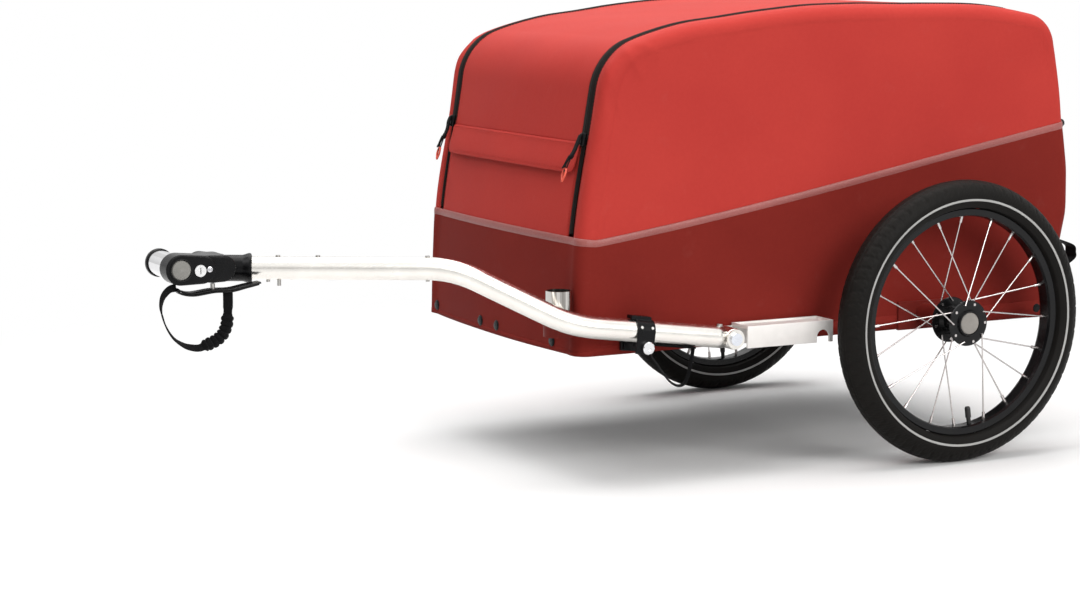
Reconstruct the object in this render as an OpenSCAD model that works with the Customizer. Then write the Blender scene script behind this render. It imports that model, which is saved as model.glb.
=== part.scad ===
// Two-wheel cargo trailer with a fabric body and a folding side drawbar.
// Axes: +X to the rear, +Y to the trailer's right, +Z up. The wheels stand on Z = 0.
// Every module works from the wheel axle; placed() then centres the trailer on the origin.

/* [Wheels] */
// Outer diameter of the tyre
tyre_d = 395; // [385:1:405]
// Width of the tyre
tyre_w = 47; // [44:1:50]
// Thickness of the tyre's wall
tyre_wall = 3; // [2:0.5:4]
// Distance from the body's side to the wheel's centre plane
wheel_out = 87; // [84:1:100]
// Width of the rim over its flanges
rim_w = 26; // [24:1:28]
// Inner diameter of the rim
rim_inner_d = 295; // [290:1:298]
// Spokes on each hub flange
spokes_per_flange = 10; // [8:2:12]
// Diameter of a spoke
spoke_d = 2; // [1.8:0.1:2.3]
// Diameter of the hub flanges
flange_d = 64; // [60:1:70]
// Distance between the middles of the two hub flanges
flange_gap = 40; // [38:1:44]
// Diameter of the axle
axle_d = 12; // [10:0.5:13]
// Diameter of the round button in the middle of the hub
button_d = 30; // [26:1:32]
// How far the button can be pressed
button_travel = 3; // [2:0.5:3]

/* [Body] */
// Width of the fabric body
body_w = 476; // [460:2:480]
// Distance from the axle forward to the lower front edge
body_ahead = 553; // [545:1:560]
// Distance from the axle back to the body's rearmost line
body_behind = 259; // [250:1:270]
// Height of the lower edge
body_bottom = 175; // [170:1:180]
// Height of the top
body_top = 635; // [620:1:660]
// Height of the corner between front and top
nose_top = 574; // [560:1:585]
// How far that corner leans back from the lower front edge
front_rake = 47; // [40:1:56]
// Radius with which the fabric turns from front and top to the sides
edge_r = 20; // [18:1:24]
// How far the rounded side edge stands out beside the zip
edge_lift = 4; // [2:0.5:5]
// How far the middle of the front bulges forward
front_crown = 12; // [6:1:14]
// Thickness of the fabric
fabric_t = 1.6; // [1:0.2:2]
// Height of the reflective band on the front
band_z = 331; // [322:1:340]
// Height of the reflective band at the rear
band_rear_z = 463; // [450:1:475]
// Width of the reflective band
band_h = 9; // [7:0.5:12]
// Width of a zip tape
zip_w = 12; // [10:1:14]
// Distance from the body's side to the zip's middle
zip_inset = 32; // [30:1:38]
// Height of the upper edge of the front flap
flap_top = 456; // [445:1:465]
// Drop of the front flap
flap_drop = 42; // [30:1:55]

/* [Frame] */
// Side of the square frame tubes
rail_w = 25; // [22:1:26]
// Wall of the square frame tubes
rail_wall = 2; // [1.5:0.5:3]
// Diameter of the bent side hoops
hoop_d = 18; // [16:1:19]
// Thickness of the floor panel
floor_t = 5; // [4:1:8]
// Diameter of the walker-wheel socket
socket_d = 35; // [32:1:36]
// Bore of the walker-wheel socket
socket_bore_d = 31; // [28:0.5:31]
// Length of the walker-wheel socket
socket_len = 56; // [50:1:60]

/* [Drawbar] */
// Diameter of the drawbar tube
bar_d = 30; // [28:1:31]
// Wall of the drawbar tube
bar_wall = 2.5; // [2:0.5:3]
// Radius of the drawbar's bends
bar_bend_r = 150; // [120:5:170]
// Distance from the axle forward to the fold pivot
pivot_ahead = 337; // [330:1:345]
// Height of the fold pivot
pivot_z = 190; // [186:1:192]
// Distance from the body's side to the middle of the drawbar's rear part
bar_out = 28; // [26:1:30]
// Inner width of the drawbar bracket
bracket_gap = 36; // [35.5:0.1:37]
// Sheet thickness of the drawbar bracket
bracket_t = 3; // [2.5:0.5:3.5]
// Length of the drawbar bracket
bracket_len = 137; // [125:1:145]
// Diameter of the latch pin
pin_d = 8; // [6:0.5:9]
// Travel of the latch pin when it is pulled out
pin_travel = 20; // [14:1:26]

/* [Hitch] */
// Diameter of the chrome coupler sleeve
coupler_d = 33; // [32:0.5:35]
// Bore of the coupler sleeve
coupler_bore_d = 20; // [16:0.5:24]
// Length of the hitch across the drawbar
coupler_len = 92; // [88:1:100]
// Height of the coupler's axis
coupler_z = 313; // [308:1:318]
// Diameter of the release button
release_d = 25; // [22:0.5:27]
// Travel of the release button
release_travel = 5; // [3:0.5:6]
// Diameter of the lock barrel
lock_d = 15; // [12:0.5:16]

/* [Hidden] */
$fn = 48;

LEFT = -1;
RIGHT = 1;
seat_gap = 0.3;
run_gap = 0.05;
eps = 0.01;

axle_z = tyre_d / 2;
wall_y = body_w / 2;
wheel_y = wall_y + wheel_out;
bar_y = wall_y + bar_out;
zip_y = wall_y - zip_inset;
flat_y = wall_y - edge_r;
strip_arc = edge_r * PI / 2;
zip_in = zip_y - zip_w / 2;
zip_out = zip_y + zip_w / 2;
cloth_gap = 0.3;

bead_r = 152.5;
rim_flange_r = 158.5;
rim_wall = 2.5;
rim_inner_r = rim_inner_d / 2;
flange_t = 3;
spoke_circle_r = flange_d / 2 - 5;
spoke_pitch = 360 / spokes_per_flange;
nipple_d = 4.4;
nipple_len = 14;
bearing_d = 28;
bearing_w = 8;
bearing_out = 17;
hub_half = 25;
button_t = 3.5;
receiver_d = 32;
receiver_end_y = wheel_y - hub_half - 4;

hitch_x = -body_ahead - 521;
hitch_y = -bar_y + 99;
lock_x = hitch_x + 25;
lock_z = coupler_z - 2;
pin_ahead = 137;
pin_drop = 20;
collar_w = 27;
cover_rear_x = 150;
cover_front_z = flap_top - 3;
front_panel_top = flap_top - 7;

floor_z = body_bottom + 3 + rail_w;
rail_y = wall_y - fabric_t - seat_gap - rail_w / 2;
rail_z = body_bottom + 3 + rail_w / 2;
corner_len = 34;
hoop_inset = edge_r - (edge_r - fabric_t - seat_gap - hoop_d / 2) * cos(45) + 0.8;
hoop_y = flat_y + edge_r - hoop_inset;

// The middle of the trailer's length lies half way from the hitch nose to the rear handle.
nose_r = 19.5;
handle_reach = 32;
frame_x = -(hitch_x - nose_r + body_behind + handle_reach) / 2;

module placed() translate([frame_x, 0, 0]) children();

// Small vector helpers
function unit(v) = v / norm(v);
function turned(v, a) = [v[0] * cos(a) - v[1] * sin(a), v[0] * sin(a) + v[1] * cos(a)];
function turn_angle(a, b) = atan2(a[0] * b[1] - a[1] * b[0], a * b);

// The side outline of the body as corners [x, z, radius], from the lower front edge over the top
outline = [
    [-body_ahead, body_bottom, 0],
    [-body_ahead + 5, band_z, 500],
    [-body_ahead + front_rake, nose_top, 80],
    [-body_ahead + front_rake + 96, nose_top + 34, 480],
    [-body_ahead + front_rake + 306, body_top, 1200],
    [body_behind - 149, body_top - 1, 700],
    [body_behind - 35, body_top - 24, 50],
    [body_behind - 1, band_rear_z - 68, 150],
    [body_behind, 330, 120],
    [body_behind - 34, body_bottom, 0]];

// Rounds the corners of the outline; a row is [x, z, outward normal x, outward normal z].
arc_step = 6;
function corner_rows(a, b, c) =
    let (p = [b[0], b[1]],
        d0 = unit(p - [a[0], a[1]]),
        d1 = unit([c[0], c[1]] - p),
        turn = turn_angle(d0, d1),
        side = turn < 0 ? 1 : -1,
        start = p - d0 * b[2] * tan(abs(turn) / 2),
        centre = start - side * b[2] * turned(d0, 90),
        steps = max(2, ceil(abs(turn) / arc_step)))
    [for (i = [0:steps])
        let (n = turned(d0, 90 + turn * i / steps), q = centre + side * b[2] * n)
        [q[0], q[1], n[0], n[1]]];
function end_row(p, q, at) =
    let (n = turned(unit([q[0] - p[0], q[1] - p[1]]), 90)) [at[0], at[1], n[0], n[1]];
function rounded_rows(v) = concat(
    [end_row(v[0], v[1], v[0])],
    [for (i = [1:len(v) - 2]) each corner_rows(v[i - 1], v[i], v[i + 1])],
    [end_row(v[len(v) - 2], v[len(v) - 1], v[len(v) - 1])]);

body_rows = rounded_rows(outline);
last_row = len(body_rows) - 1;

// Row at a fractional index, and the index at which a coordinate is reached between two rows
function row_at(u) =
    let (i = min(floor(u), last_row - 1), f = u - i)
    body_rows[i] * (1 - f) + body_rows[i + 1] * f;
function cross_index(axis, value, from, to) = [for (i = [from:to - 1])
    if ((body_rows[i][axis] - value) * (body_rows[i + 1][axis] - value) <= 0
        && body_rows[i][axis] != body_rows[i + 1][axis])
    i + (value - body_rows[i][axis]) / (body_rows[i + 1][axis] - body_rows[i][axis])][0];
function rows_between(a, b) = concat([row_at(a)],
    [for (i = [ceil(a + eps):floor(b - eps)]) body_rows[i]], [row_at(b)]);

top_row = [for (i = [0:last_row]) if (body_rows[i][0] > 0) i][0];
function front_at(z) = cross_index(1, z, 0, top_row);
function rear_at(z) = cross_index(1, z, top_row, last_row);
function top_at(x) = cross_index(0, x, 0, last_row - 8);

// How far the cloth stands out of the plain outline: the front's bulge and the lifted side edges
function relief(q, a) =
    let (share = min(a, flat_y) / flat_y,
        beside = (a - zip_out) / (flat_y + strip_arc - zip_out))
    max(0, -q[2]) * (front_crown * (1 - share * share)
        + (beside > 0 ? edge_lift * sin(180 * beside) : 0));

// Point of the fabric: row q, distance s from the middle measured along the cloth, height d above it
function skin_point(q, s, d = 0) =
    let (a = abs(s),
        side = s < 0 ? LEFT : RIGHT,
        bend = max(0, a - flat_y) / edge_r * 180 / PI,
        inset = edge_r * (1 - cos(bend)),
        y = min(a, flat_y) + edge_r * sin(bend),
        out = d + relief(q, a))
    [q[0] - q[2] * inset + out * q[2] * cos(bend),
     side * (y + out * sin(bend)),
     q[1] - q[3] * inset + out * q[3] * cos(bend)];
function skin_normal(q, s) = skin_point(q, s, 1) - skin_point(q, s, 0);

// Stations across the bulging front
function front_stations(half) = [for (i = [-3:3]) half * i / 3];

// Stations from the zip to the end of the rounded edge
function strip_stations(from) = [for (i = [0:4]) from + (flat_y + strip_arc - from) * i / 4];

// Closed shell between two like point lists; its rim faces are found from the faces' free edges.
module shell(outer, inner, faces) {
    n = len(outer);
    edges = [for (f = faces) for (i = [0:len(f) - 1]) [f[i], f[(i + 1) % len(f)]]];
    codes = [for (e = edges) e[0] * n + e[1]];
    rim = [for (e = edges) if (len(search(e[1] * n + e[0], codes)) == 0) e];
    polyhedron(
        points = concat(outer, inner),
        faces = concat([for (f = faces) [for (i = [len(f) - 1:-1:0]) f[i]]],
            [for (f = faces) [for (v = f) v + n]],
            [for (e = rim) [e[0], e[1], e[1] + n, e[0] + n]]),
        convexity = 6);
}

function grid_faces(rows, cols, first = 0, flip = false) = [
    for (i = [0:rows - 2]) for (j = [0:cols - 2])
        let (a = first + i * cols + j, b = a + 1, c = a + cols, d = c + 1)
        each (flip ? [[a, b, d], [a, d, c]] : [[a, d, b], [a, c, d]])];

// A piece of cloth between two places of the outline and two distances from the middle
module cloth(rows, stations, low, high) {
    shell(
        [for (q = rows) for (s = stations) skin_point(q, s, high)],
        [for (q = rows) for (s = stations) skin_point(q, s, low)],
        grid_faces(len(rows), len(stations)));
}

function mirrored(points, side) = side == RIGHT ? points : [for (p = points) [p[0], -p[1], p[2]]];
function facing(faces, side) = side == RIGHT ? faces
    : [for (f = faces) [for (i = [len(f) - 1:-1:0]) f[i]]];

// Height of the band's upper edge on the side walls: a line with a slight sag in its front half
band_sag = 9;
band_start_x = -body_ahead + 29;
band_span = body_ahead + body_behind - 42;
function band_height(x) =
    let (w = min(1, max(0, (x - band_start_x) / band_span)))
    band_z - 2 + (band_rear_z - 2 - band_z) * w - band_sag * sin(180 * w) * (1 - w);

band_front = front_at(band_z - band_h / 2);
band_rear = rear_at(band_rear_z - band_h / 2);
cover_rear = top_at(cover_rear_x);

function wall_point(q, d) = skin_point(q, flat_y + strip_arc, d);
function seam_points(d) =
    let (a = wall_point(row_at(band_front), d), b = wall_point(row_at(band_rear), d), n = 10)
    [for (i = [1:n - 1])
        let (w = i / n,
            x = a[0] + (b[0] - a[0]) * w,
            lift = (a[2] - band_height(a[0])) * (1 - w) + (b[2] - band_height(b[0])) * w)
        [x, a[1], band_height(x) + lift]];

// Bright upper side: the strip from the zip round the edge, and the side wall above the band
module side_panel(side) {
    rows = rows_between(band_front, band_rear);
    stations = strip_stations(zip_out + cloth_gap);
    m = len(stations);
    n = len(rows) * m;
    function layer(d) = concat(
        [for (q = rows) for (s = stations) skin_point(q, s, d)],
        seam_points(d));
    seam_n = len(seam_points(0));
    wall = concat(
        [for (i = [0:len(rows) - 1]) i * m + m - 1],
        [for (i = [seam_n - 1:-1:0]) n + i]);
    faces = concat(grid_faces(len(rows), m), [wall]);
    shell(mirrored(layer(0), side), mirrored(layer(-fabric_t), side), facing(faces, side));
}

// Dark lower side: two corner strips joined by the side wall under the band
module lower_side_panel(side) {
    front = rows_between(0, band_front - cloth_gap / 40);
    rear = rows_between(band_rear + cloth_gap / 40, last_row);
    stations = strip_stations(zip_out + cloth_gap);
    m = len(stations);
    n_front = len(front) * m;
    n_rear = len(rear) * m;
    function layer(d) = concat(
        [for (q = front) for (s = stations) skin_point(q, s, d)],
        [for (q = rear) for (s = stations) skin_point(q, s, d)],
        [for (p = seam_points(d)) p - [0, 0, cloth_gap]]);
    seam_n = len(seam_points(0));
    wall = concat(
        [for (i = [0:len(front) - 1]) i * m + m - 1],
        [for (i = [0:seam_n - 1]) n_front + n_rear + i],
        [for (i = [0:len(rear) - 1]) n_front + i * m + m - 1]);
    faces = concat(
        grid_faces(len(front), m),
        grid_faces(len(rear), m, n_front),
        [wall]);
    shell(mirrored(layer(0), side), mirrored(layer(-fabric_t), side), facing(faces, side));
}

// Turns the children's +Z from one point towards another
module along(from, to) {
    v = to - from;
    translate(from)
        rotate([0, acos(v[2] / norm(v)), atan2(v[1], v[0])])
            children();
}

// Route of a bent tube: [point, direction] pairs along corner points whose bends have given radii
function bend_places(path, radii, i, step) =
    let (d0 = unit(path[i] - path[i - 1]),
        d1 = unit(path[i + 1] - path[i]),
        angle = acos(d0 * d1),
        inward = unit(d1 - (d0 * d1) * d0),
        centre = path[i] - d0 * radii[i] * tan(angle / 2) + inward * radii[i],
        n = max(2, ceil(angle / step)))
    [for (k = [0:n])
        let (a = angle * k / n)
        [centre + radii[i] * (sin(a) * d0 - cos(a) * inward), cos(a) * d0 + sin(a) * inward]];
function tube_route(path, radii, step) =
    let (last = len(path) - 1)
    concat([[path[0], unit(path[1] - path[0])]],
        [for (i = [1:last - 1]) each bend_places(path, radii, i, step)],
        [[path[last], unit(path[last] - path[last - 1])]]);

// Points of a ring square to a route; across is a direction that the route never runs in
function ring(place, r, sides, across) =
    let (t = place[1], u = unit(across - (across * t) * t), v = cross(t, u))
    [for (k = [0:sides - 1])
        let (a = 360 * k / sides) place[0] + r * (cos(a) * u + sin(a) * v)];
function side_faces(rings, sides, first, flip) = [
    for (i = [0:rings - 2]) for (k = [0:sides - 1])
        let (a = first + i * sides + k, b = first + i * sides + (k + 1) % sides)
        each (flip ? [[a, b + sides, a + sides], [a, b, b + sides]]
            : [[a, a + sides, b + sides], [a, b + sides, b]])];

// A solid rod along a route
module swept(route, r, sides, across) {
    n = len(route);
    polyhedron(
        points = [for (q = route) each ring(q, r, sides, across)],
        faces = concat(
            [[for (k = [0:sides - 1]) k]],
            side_faces(n, sides, 0, false),
            [[for (k = [sides - 1:-1:0]) (n - 1) * sides + k]]),
        convexity = 8);
}

// A hollow tube along corner points [x, y, z] with bends
module bent_tube(path, radii, r, wall, sides, step) {
    route = tube_route(path, radii, step);
    n = len(route);
    m = n * sides;
    end = (n - 1) * sides;
    polyhedron(
        points = concat(
            [for (q = route) each ring(q, r, sides, [0, 1, 0])],
            [for (q = route) each ring(q, r - wall, sides, [0, 1, 0])]),
        faces = concat(
            side_faces(n, sides, 0, false),
            side_faces(n, sides, m, true),
            [for (k = [0:sides - 1])
                let (j = (k + 1) % sides) [k, j, m + j, m + k]],
            [for (k = [0:sides - 1])
                let (j = (k + 1) % sides) [end + j, end + k, m + end + k, m + end + j]]),
        convexity = 8);
}

// Sideways cylinder about Y, from y0 to y1
module cross_cylinder(x, z, y0, y1, r) {
    translate([x, y1, z])
        rotate([90, 0, 0])
            cylinder(r = r, h = y1 - y0);
}

// Frame
module box_tube(size, wall, axis) {
    inner = [for (i = [0:2]) i == axis ? size[i] + 2 : size[i] - 2 * wall];
    difference() {
        cube(size, center = true);
        cube(inner, center = true);
    }
}
rail_front_x = -body_ahead + fabric_t + seat_gap + 2 + corner_len;
rail_rear_x = body_behind - 34 - fabric_t - seat_gap - 2 - corner_len;
module side_rails() {
    color("silver")
    for (side = [LEFT, RIGHT])
        translate([(rail_front_x + rail_rear_x) / 2, side * rail_y, rail_z])
            box_tube([rail_rear_x - rail_front_x, rail_w, rail_w], rail_wall, 0);
}
module crossbars() {
    reach = 2 * (rail_y + rail_w / 2 - corner_len);
    color("silver")
    for (x = [rail_front_x - corner_len + rail_w / 2, rail_rear_x + corner_len - rail_w / 2])
        translate([x, 0, rail_z])
            box_tube([rail_w, reach, rail_w], rail_wall, 1);
}
// Moulded corner: joins rail, crossbar and hoop, with its outer edge rounded like the fabric
module corner_block() {
    r = edge_r - fabric_t - seat_gap;
    linear_extrude(rail_w + 8)
        intersection() {
            square(corner_len);
            union() {
                translate([corner_len - r, corner_len - r])
                    circle(r);
                square([corner_len, corner_len - r]);
                square([corner_len - r, corner_len]);
            }
        }
}
module corner_joints() {
    y = rail_y + rail_w / 2 - corner_len;
    color("black")
    for (side = [LEFT, RIGHT]) {
        translate([rail_front_x, side * y, rail_z - rail_w / 2])
            mirror([1, 0, 0])
                mirror([0, side == LEFT ? 1 : 0, 0])
                    corner_block();
        translate([rail_rear_x, side * y, rail_z - rail_w / 2])
            mirror([0, side == LEFT ? 1 : 0, 0])
                corner_block();
    }
}
hoop_foot_z = rail_z + rail_w / 2 + 8;
module floor_panel() {
    length = rail_rear_x - rail_front_x + 2 * corner_len - 16;
    width = 2 * rail_y + rail_w;
    color("dimgray")
    difference() {
        translate([(rail_front_x + rail_rear_x) / 2 - length / 2, -width / 2, floor_z])
            cube([length, width, floor_t]);
        for (x = [rail_front_x, rail_rear_x], side = [LEFT, RIGHT])
            translate([x, side * width / 2, floor_z + floor_t / 2])
                cube([2 * corner_len + 2 * seat_gap, 2 * corner_len + 2 * seat_gap, 20],
                    center = true);
    }
}

// Corner of the outline moved inward by d
function inset_corner(i, d) =
    let (p = [outline[i][0], outline[i][1]],
        a = i == 0 ? p : [outline[i - 1][0], outline[i - 1][1]],
        b = i == len(outline) - 1 ? p : [outline[i + 1][0], outline[i + 1][1]],
        n0 = i == 0 ? turned(unit(b - p), 90) : turned(unit(p - a), 90),
        n1 = i == len(outline) - 1 ? n0 : turned(unit(b - p), 90))
    p - d * (n0 + n1) / (1 + n0 * n1);
function hoop_foot(i, j) =
    let (a = inset_corner(i, hoop_inset), b = inset_corner(j, hoop_inset))
    a + (b - a) * (hoop_foot_z - a[1]) / (b[1] - a[1]);
hoop_plan = concat([hoop_foot(0, 1)],
    [for (i = [1:len(outline) - 2]) inset_corner(i, hoop_inset)],
    [hoop_foot(len(outline) - 1, len(outline) - 2)]);
hoop_radii = concat([0],
    [for (i = [1:len(outline) - 2]) outline[i][2] - hoop_inset], [0]);
module side_hoops() {
    color("silver")
    for (side = [LEFT, RIGHT])
        bent_tube([for (p = hoop_plan) [p[0], side * hoop_y, p[1]]], hoop_radii,
            hoop_d / 2, rail_wall, 10, 12);
}
top_bar_d = hoop_d - 2;
module top_crossbars() {
    reach = hoop_y - hoop_d / 2 - 0.1;
    color("silver")
    for (q = [row_at(front_at(nose_top - 12)), row_at(rear_at(body_top - top_bar_d * 5 / 2))])
        cross_cylinder(q[0] - q[2] * hoop_inset, q[1] - q[3] * hoop_inset,
            -reach, reach, top_bar_d / 2);
}

// Wheels: each is modelled about +Z as its outward axle, then laid over and turned a little
valve_turn = 8;
module wheel_place(side) {
    translate([0, side * wheel_y, axle_z])
        rotate([side == LEFT ? 90 : -90, 0, 0])
            rotate([0, 0, side == LEFT ? valve_turn : 180 - valve_turn / 2])
                children();
}
tyre_c = tyre_d / 2 - tyre_w / 2;
function tyre_arc(r, from, to) = [for (i = [0:16])
    let (a = from + (to - from) * i / 16) [tyre_c - r * cos(a), r * sin(a)]];
module tyre(side) {
    outer_r = tyre_w / 2;
    inner_r = outer_r - tyre_wall;
    outside = tyre_arc(outer_r, 54, 180);
    inside = tyre_arc(inner_r, 180, 60);
    bead = [[rim_flange_r + 2, rim_w / 2 - 1.5], [rim_flange_r + 0.4, rim_w / 2 - 2.2],
        [bead_r + 0.4, rim_w / 2 - 2.2], [bead_r + 0.4, rim_w / 2 - 6],
        [bead_r + 4, rim_w / 2 - 6], [rim_flange_r + 1.5, rim_w / 2 - 4]];
    near_half = concat(outside, [for (i = [15:-1:0]) [outside[i][0], -outside[i][1]]]);
    color([0.07, 0.07, 0.07])
    wheel_place(side)
        rotate_extrude()
            polygon(concat(
                near_half,
                [for (p = bead) [p[0], -p[1]]],
                [for (i = [16:-1:0]) [inside[i][0], -inside[i][1]]],
                [for (i = [1:16]) inside[i]],
                [for (i = [5:-1:0]) bead[i]]));
}
module rim(side) {
    half = [[rim_inner_r, 0], [rim_inner_r, 8], [rim_inner_r + 1.5, rim_w / 2 - 1],
        [rim_flange_r - 1, rim_w / 2], [rim_flange_r, rim_w / 2 - 0.8],
        [rim_flange_r - 1, rim_w / 2 - 1.6], [bead_r, rim_w / 2 - 1.8], [bead_r, 8],
        [rim_inner_r + rim_wall, 6], [rim_inner_r + rim_wall, 0]];
    color([0.06, 0.06, 0.07])
    wheel_place(side)
        difference() {
            rotate_extrude()
                polygon(concat(half, [for (i = [len(half) - 2:-1:1]) [half[i][0], -half[i][1]]]));
            for (k = [0:2 * spokes_per_flange - 1])
                spoke_line(k, spoke_length(k) - 8)
                    cylinder(d = nipple_d + 0.4, h = 14);
            rotate([0, 0, 270])
                translate([rim_inner_r - 5, 0, 0])
                    rotate([0, 90, 0])
                        cylinder(d = valve_d + 0.4, h = 14);
        }
}

// Spoke k: even ones sit in the outer flange; pairs leave the flange on alternate faces.
function spoke_flange(k) = k % 2 == 0 ? 1 : -1;
function spoke_outside(k) = floor(k / 2) % 2 == 0;
function hub_angle(k) = (floor(k / 2) + 3 / 4) * spoke_pitch + (k % 2) * spoke_pitch / 2;
function face_offset(k) = (flange_t + spoke_d) / 2 + (spoke_outside(k) ? 1.4 : 0.2);
function hub_point(k) =
    let (a = hub_angle(k), f = spoke_flange(k))
    [spoke_circle_r * cos(a), spoke_circle_r * sin(a),
        f * (flange_gap / 2 + (spoke_outside(k) ? 1 : -1) * face_offset(k))];
function rim_point(k) =
    let (a = hub_angle(k) + (spoke_outside(k) ? -1 : 1) * spoke_pitch)
    [(rim_inner_r + 1) * cos(a), (rim_inner_r + 1) * sin(a), spoke_flange(k) * 3];
function spoke_length(k) = norm(rim_point(k) - hub_point(k));
module spoke_line(k, start) {
    a = hub_point(k);
    b = rim_point(k);
    along(a + unit(b - a) * start, b)
        children();
}
head_d = 3.8;
head_t = 1.2;
module spokes(side) {
    color("white")
    wheel_place(side)
        for (k = [0:2 * spokes_per_flange - 1]) {
            p = hub_point(k);
            f = spoke_flange(k);
            away = spoke_outside(k) ? -f : f;
            head_z = f * flange_gap / 2 + away * (flange_t / 2 + run_gap);
            spoke_line(k, -0.8)
                cylinder(d = spoke_d, h = spoke_length(k) - 3);
            translate([p[0], p[1], (p[2] + head_z) / 2])
                cylinder(d = spoke_d, h = abs(head_z - p[2]) + 1, center = true);
            translate([p[0], p[1], head_z + away * head_t / 2])
                cylinder(d = head_d, h = head_t, center = true);
        }
}
module nipples(side) {
    color("silver")
    wheel_place(side)
        for (k = [0:2 * spokes_per_flange - 1])
            spoke_line(k, spoke_length(k) - nipple_len + 3)
                difference() {
                    cylinder(d = nipple_d, h = nipple_len);
                    translate([0, 0, -1])
                        cylinder(d = spoke_d + 2 * run_gap, h = nipple_len - 1);
                }
}
hub_core_r = 17;
recess_z = min(bearing_out + 0.4, hub_half - button_t - button_travel);
module hub(side) {
    boss_r = button_d / 2 + 4;
    color([0.08, 0.08, 0.09])
    wheel_place(side)
        difference() {
            rotate_extrude()
                polygon([[0, -hub_half], [hub_core_r, -hub_half],
                    [hub_core_r + 3, -flange_gap / 2 - flange_t / 2],
                    [flange_d / 2 - 1, -flange_gap / 2 - flange_t / 2],
                    [flange_d / 2, -flange_gap / 2], [flange_d / 2 - 1, -flange_gap / 2 + flange_t / 2],
                    [hub_core_r + 4, -flange_gap / 2 + flange_t / 2],
                    [hub_core_r, -flange_gap / 2 + 7], [hub_core_r, flange_gap / 2 - 7],
                    [hub_core_r + 4, flange_gap / 2 - flange_t / 2],
                    [flange_d / 2 - 1, flange_gap / 2 - flange_t / 2],
                    [flange_d / 2, flange_gap / 2], [flange_d / 2 - 1, flange_gap / 2 + flange_t / 2],
                    [boss_r, flange_gap / 2 + flange_t / 2], [boss_r - 1.5, hub_half],
                    [0, hub_half]]);
            cylinder(r = bearing_d / 2 - 2, h = 4 * hub_half, center = true);
            for (m = [0, 1])
                mirror([0, 0, m])
                    translate([0, 0, bearing_out - bearing_w])
                        cylinder(d = bearing_d + 0.04, h = hub_half);
            translate([0, 0, recess_z])
                cylinder(d = button_d + 1.2, h = hub_half);
            for (k = [0:2 * spokes_per_flange - 1])
                translate([spoke_circle_r * cos(hub_angle(k)), spoke_circle_r * sin(hub_angle(k)),
                    spoke_flange(k) * flange_gap / 2])
                    cylinder(d = spoke_d + 0.6, h = 2 * flange_t, center = true);
        }
}
module bearings(side) {
    color("silver")
    wheel_place(side)
        for (z = [bearing_out - bearing_w, -bearing_out])
            translate([0, 0, z])
                rotate_extrude()
                    polygon([[axle_d / 2 + run_gap, 0], [axle_d / 2 + 3, 0],
                        [axle_d / 2 + 3, 0.6], [bearing_d / 2 - 3, 0.6], [bearing_d / 2 - 3, 0],
                        [bearing_d / 2, 0], [bearing_d / 2, bearing_w],
                        [bearing_d / 2 - 3, bearing_w], [bearing_d / 2 - 3, bearing_w - 0.6],
                        [axle_d / 2 + 3, bearing_w - 0.6], [axle_d / 2 + 3, bearing_w],
                        [axle_d / 2 + run_gap, bearing_w]]);
}
valve_d = 6;
module valve(side) {
    color([0.1, 0.1, 0.1])
    wheel_place(side)
        rotate([0, 0, 270])
            translate([rim_inner_r + 6, 0, 0])
                rotate([0, -90, 0])
                    rotate_extrude()
                        polygon([[0, 0], [valve_d / 2, 0], [valve_d / 2, 14], [valve_d / 2 + 1, 15],
                            [valve_d / 2 + 1, 28], [valve_d / 2, 30], [0, 30]]);
}
stem_d = 5;
module stub_axles() {
    shoulder_z = -bearing_out - run_gap;
    end_z = bearing_out + 0.2;
    foot_z = -(wheel_y - wall_y) + seat_gap;
    color("silver")
    for (side = [LEFT, RIGHT])
        wheel_place(side)
            difference() {
                union() {
                    translate([0, 0, foot_z])
                        cylinder(d = axle_d, h = end_z - foot_z);
                    translate([0, 0, -(wheel_y - receiver_end_y) + run_gap])
                        cylinder(d = axle_d + 6, h = wheel_y - receiver_end_y + shoulder_z - run_gap);
                }
                translate([0, 0, end_z - 22])
                    cylinder(d = stem_d + 2 * run_gap, h = 30);
            }
}
module hub_button(side) {
    rest_z = hub_half - button_t;
    color("gray")
    wheel_place(side) {
        translate([0, 0, rest_z])
            rotate_extrude()
                polygon([[0, 0], [button_d / 2, 0], [button_d / 2, button_t - 1],
                    [button_d / 2 - 1, button_t], [0, button_t + 0.6]]);
        translate([0, 0, rest_z - 16])
            cylinder(d = stem_d, h = 17);
    }
}
module axle_receivers() {
    plate_t = axle_d * 5 / 12;
    plate_len = receiver_d * 2.8;
    color("silver")
    for (side = [LEFT, RIGHT])
        difference() {
            union() {
                cross_cylinder(0, axle_z,
                    side == LEFT ? -receiver_end_y : wall_y + seat_gap,
                    side == LEFT ? -wall_y - seat_gap : receiver_end_y, receiver_d / 2);
                translate([0, side * (wall_y + seat_gap + plate_t / 2), axle_z - 1])
                    cube([plate_len, plate_t, receiver_d * 5 / 4], center = true);
            }
            cross_cylinder(0, axle_z, -wheel_y, wheel_y, axle_d / 2 + run_gap);
        }
}

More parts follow.
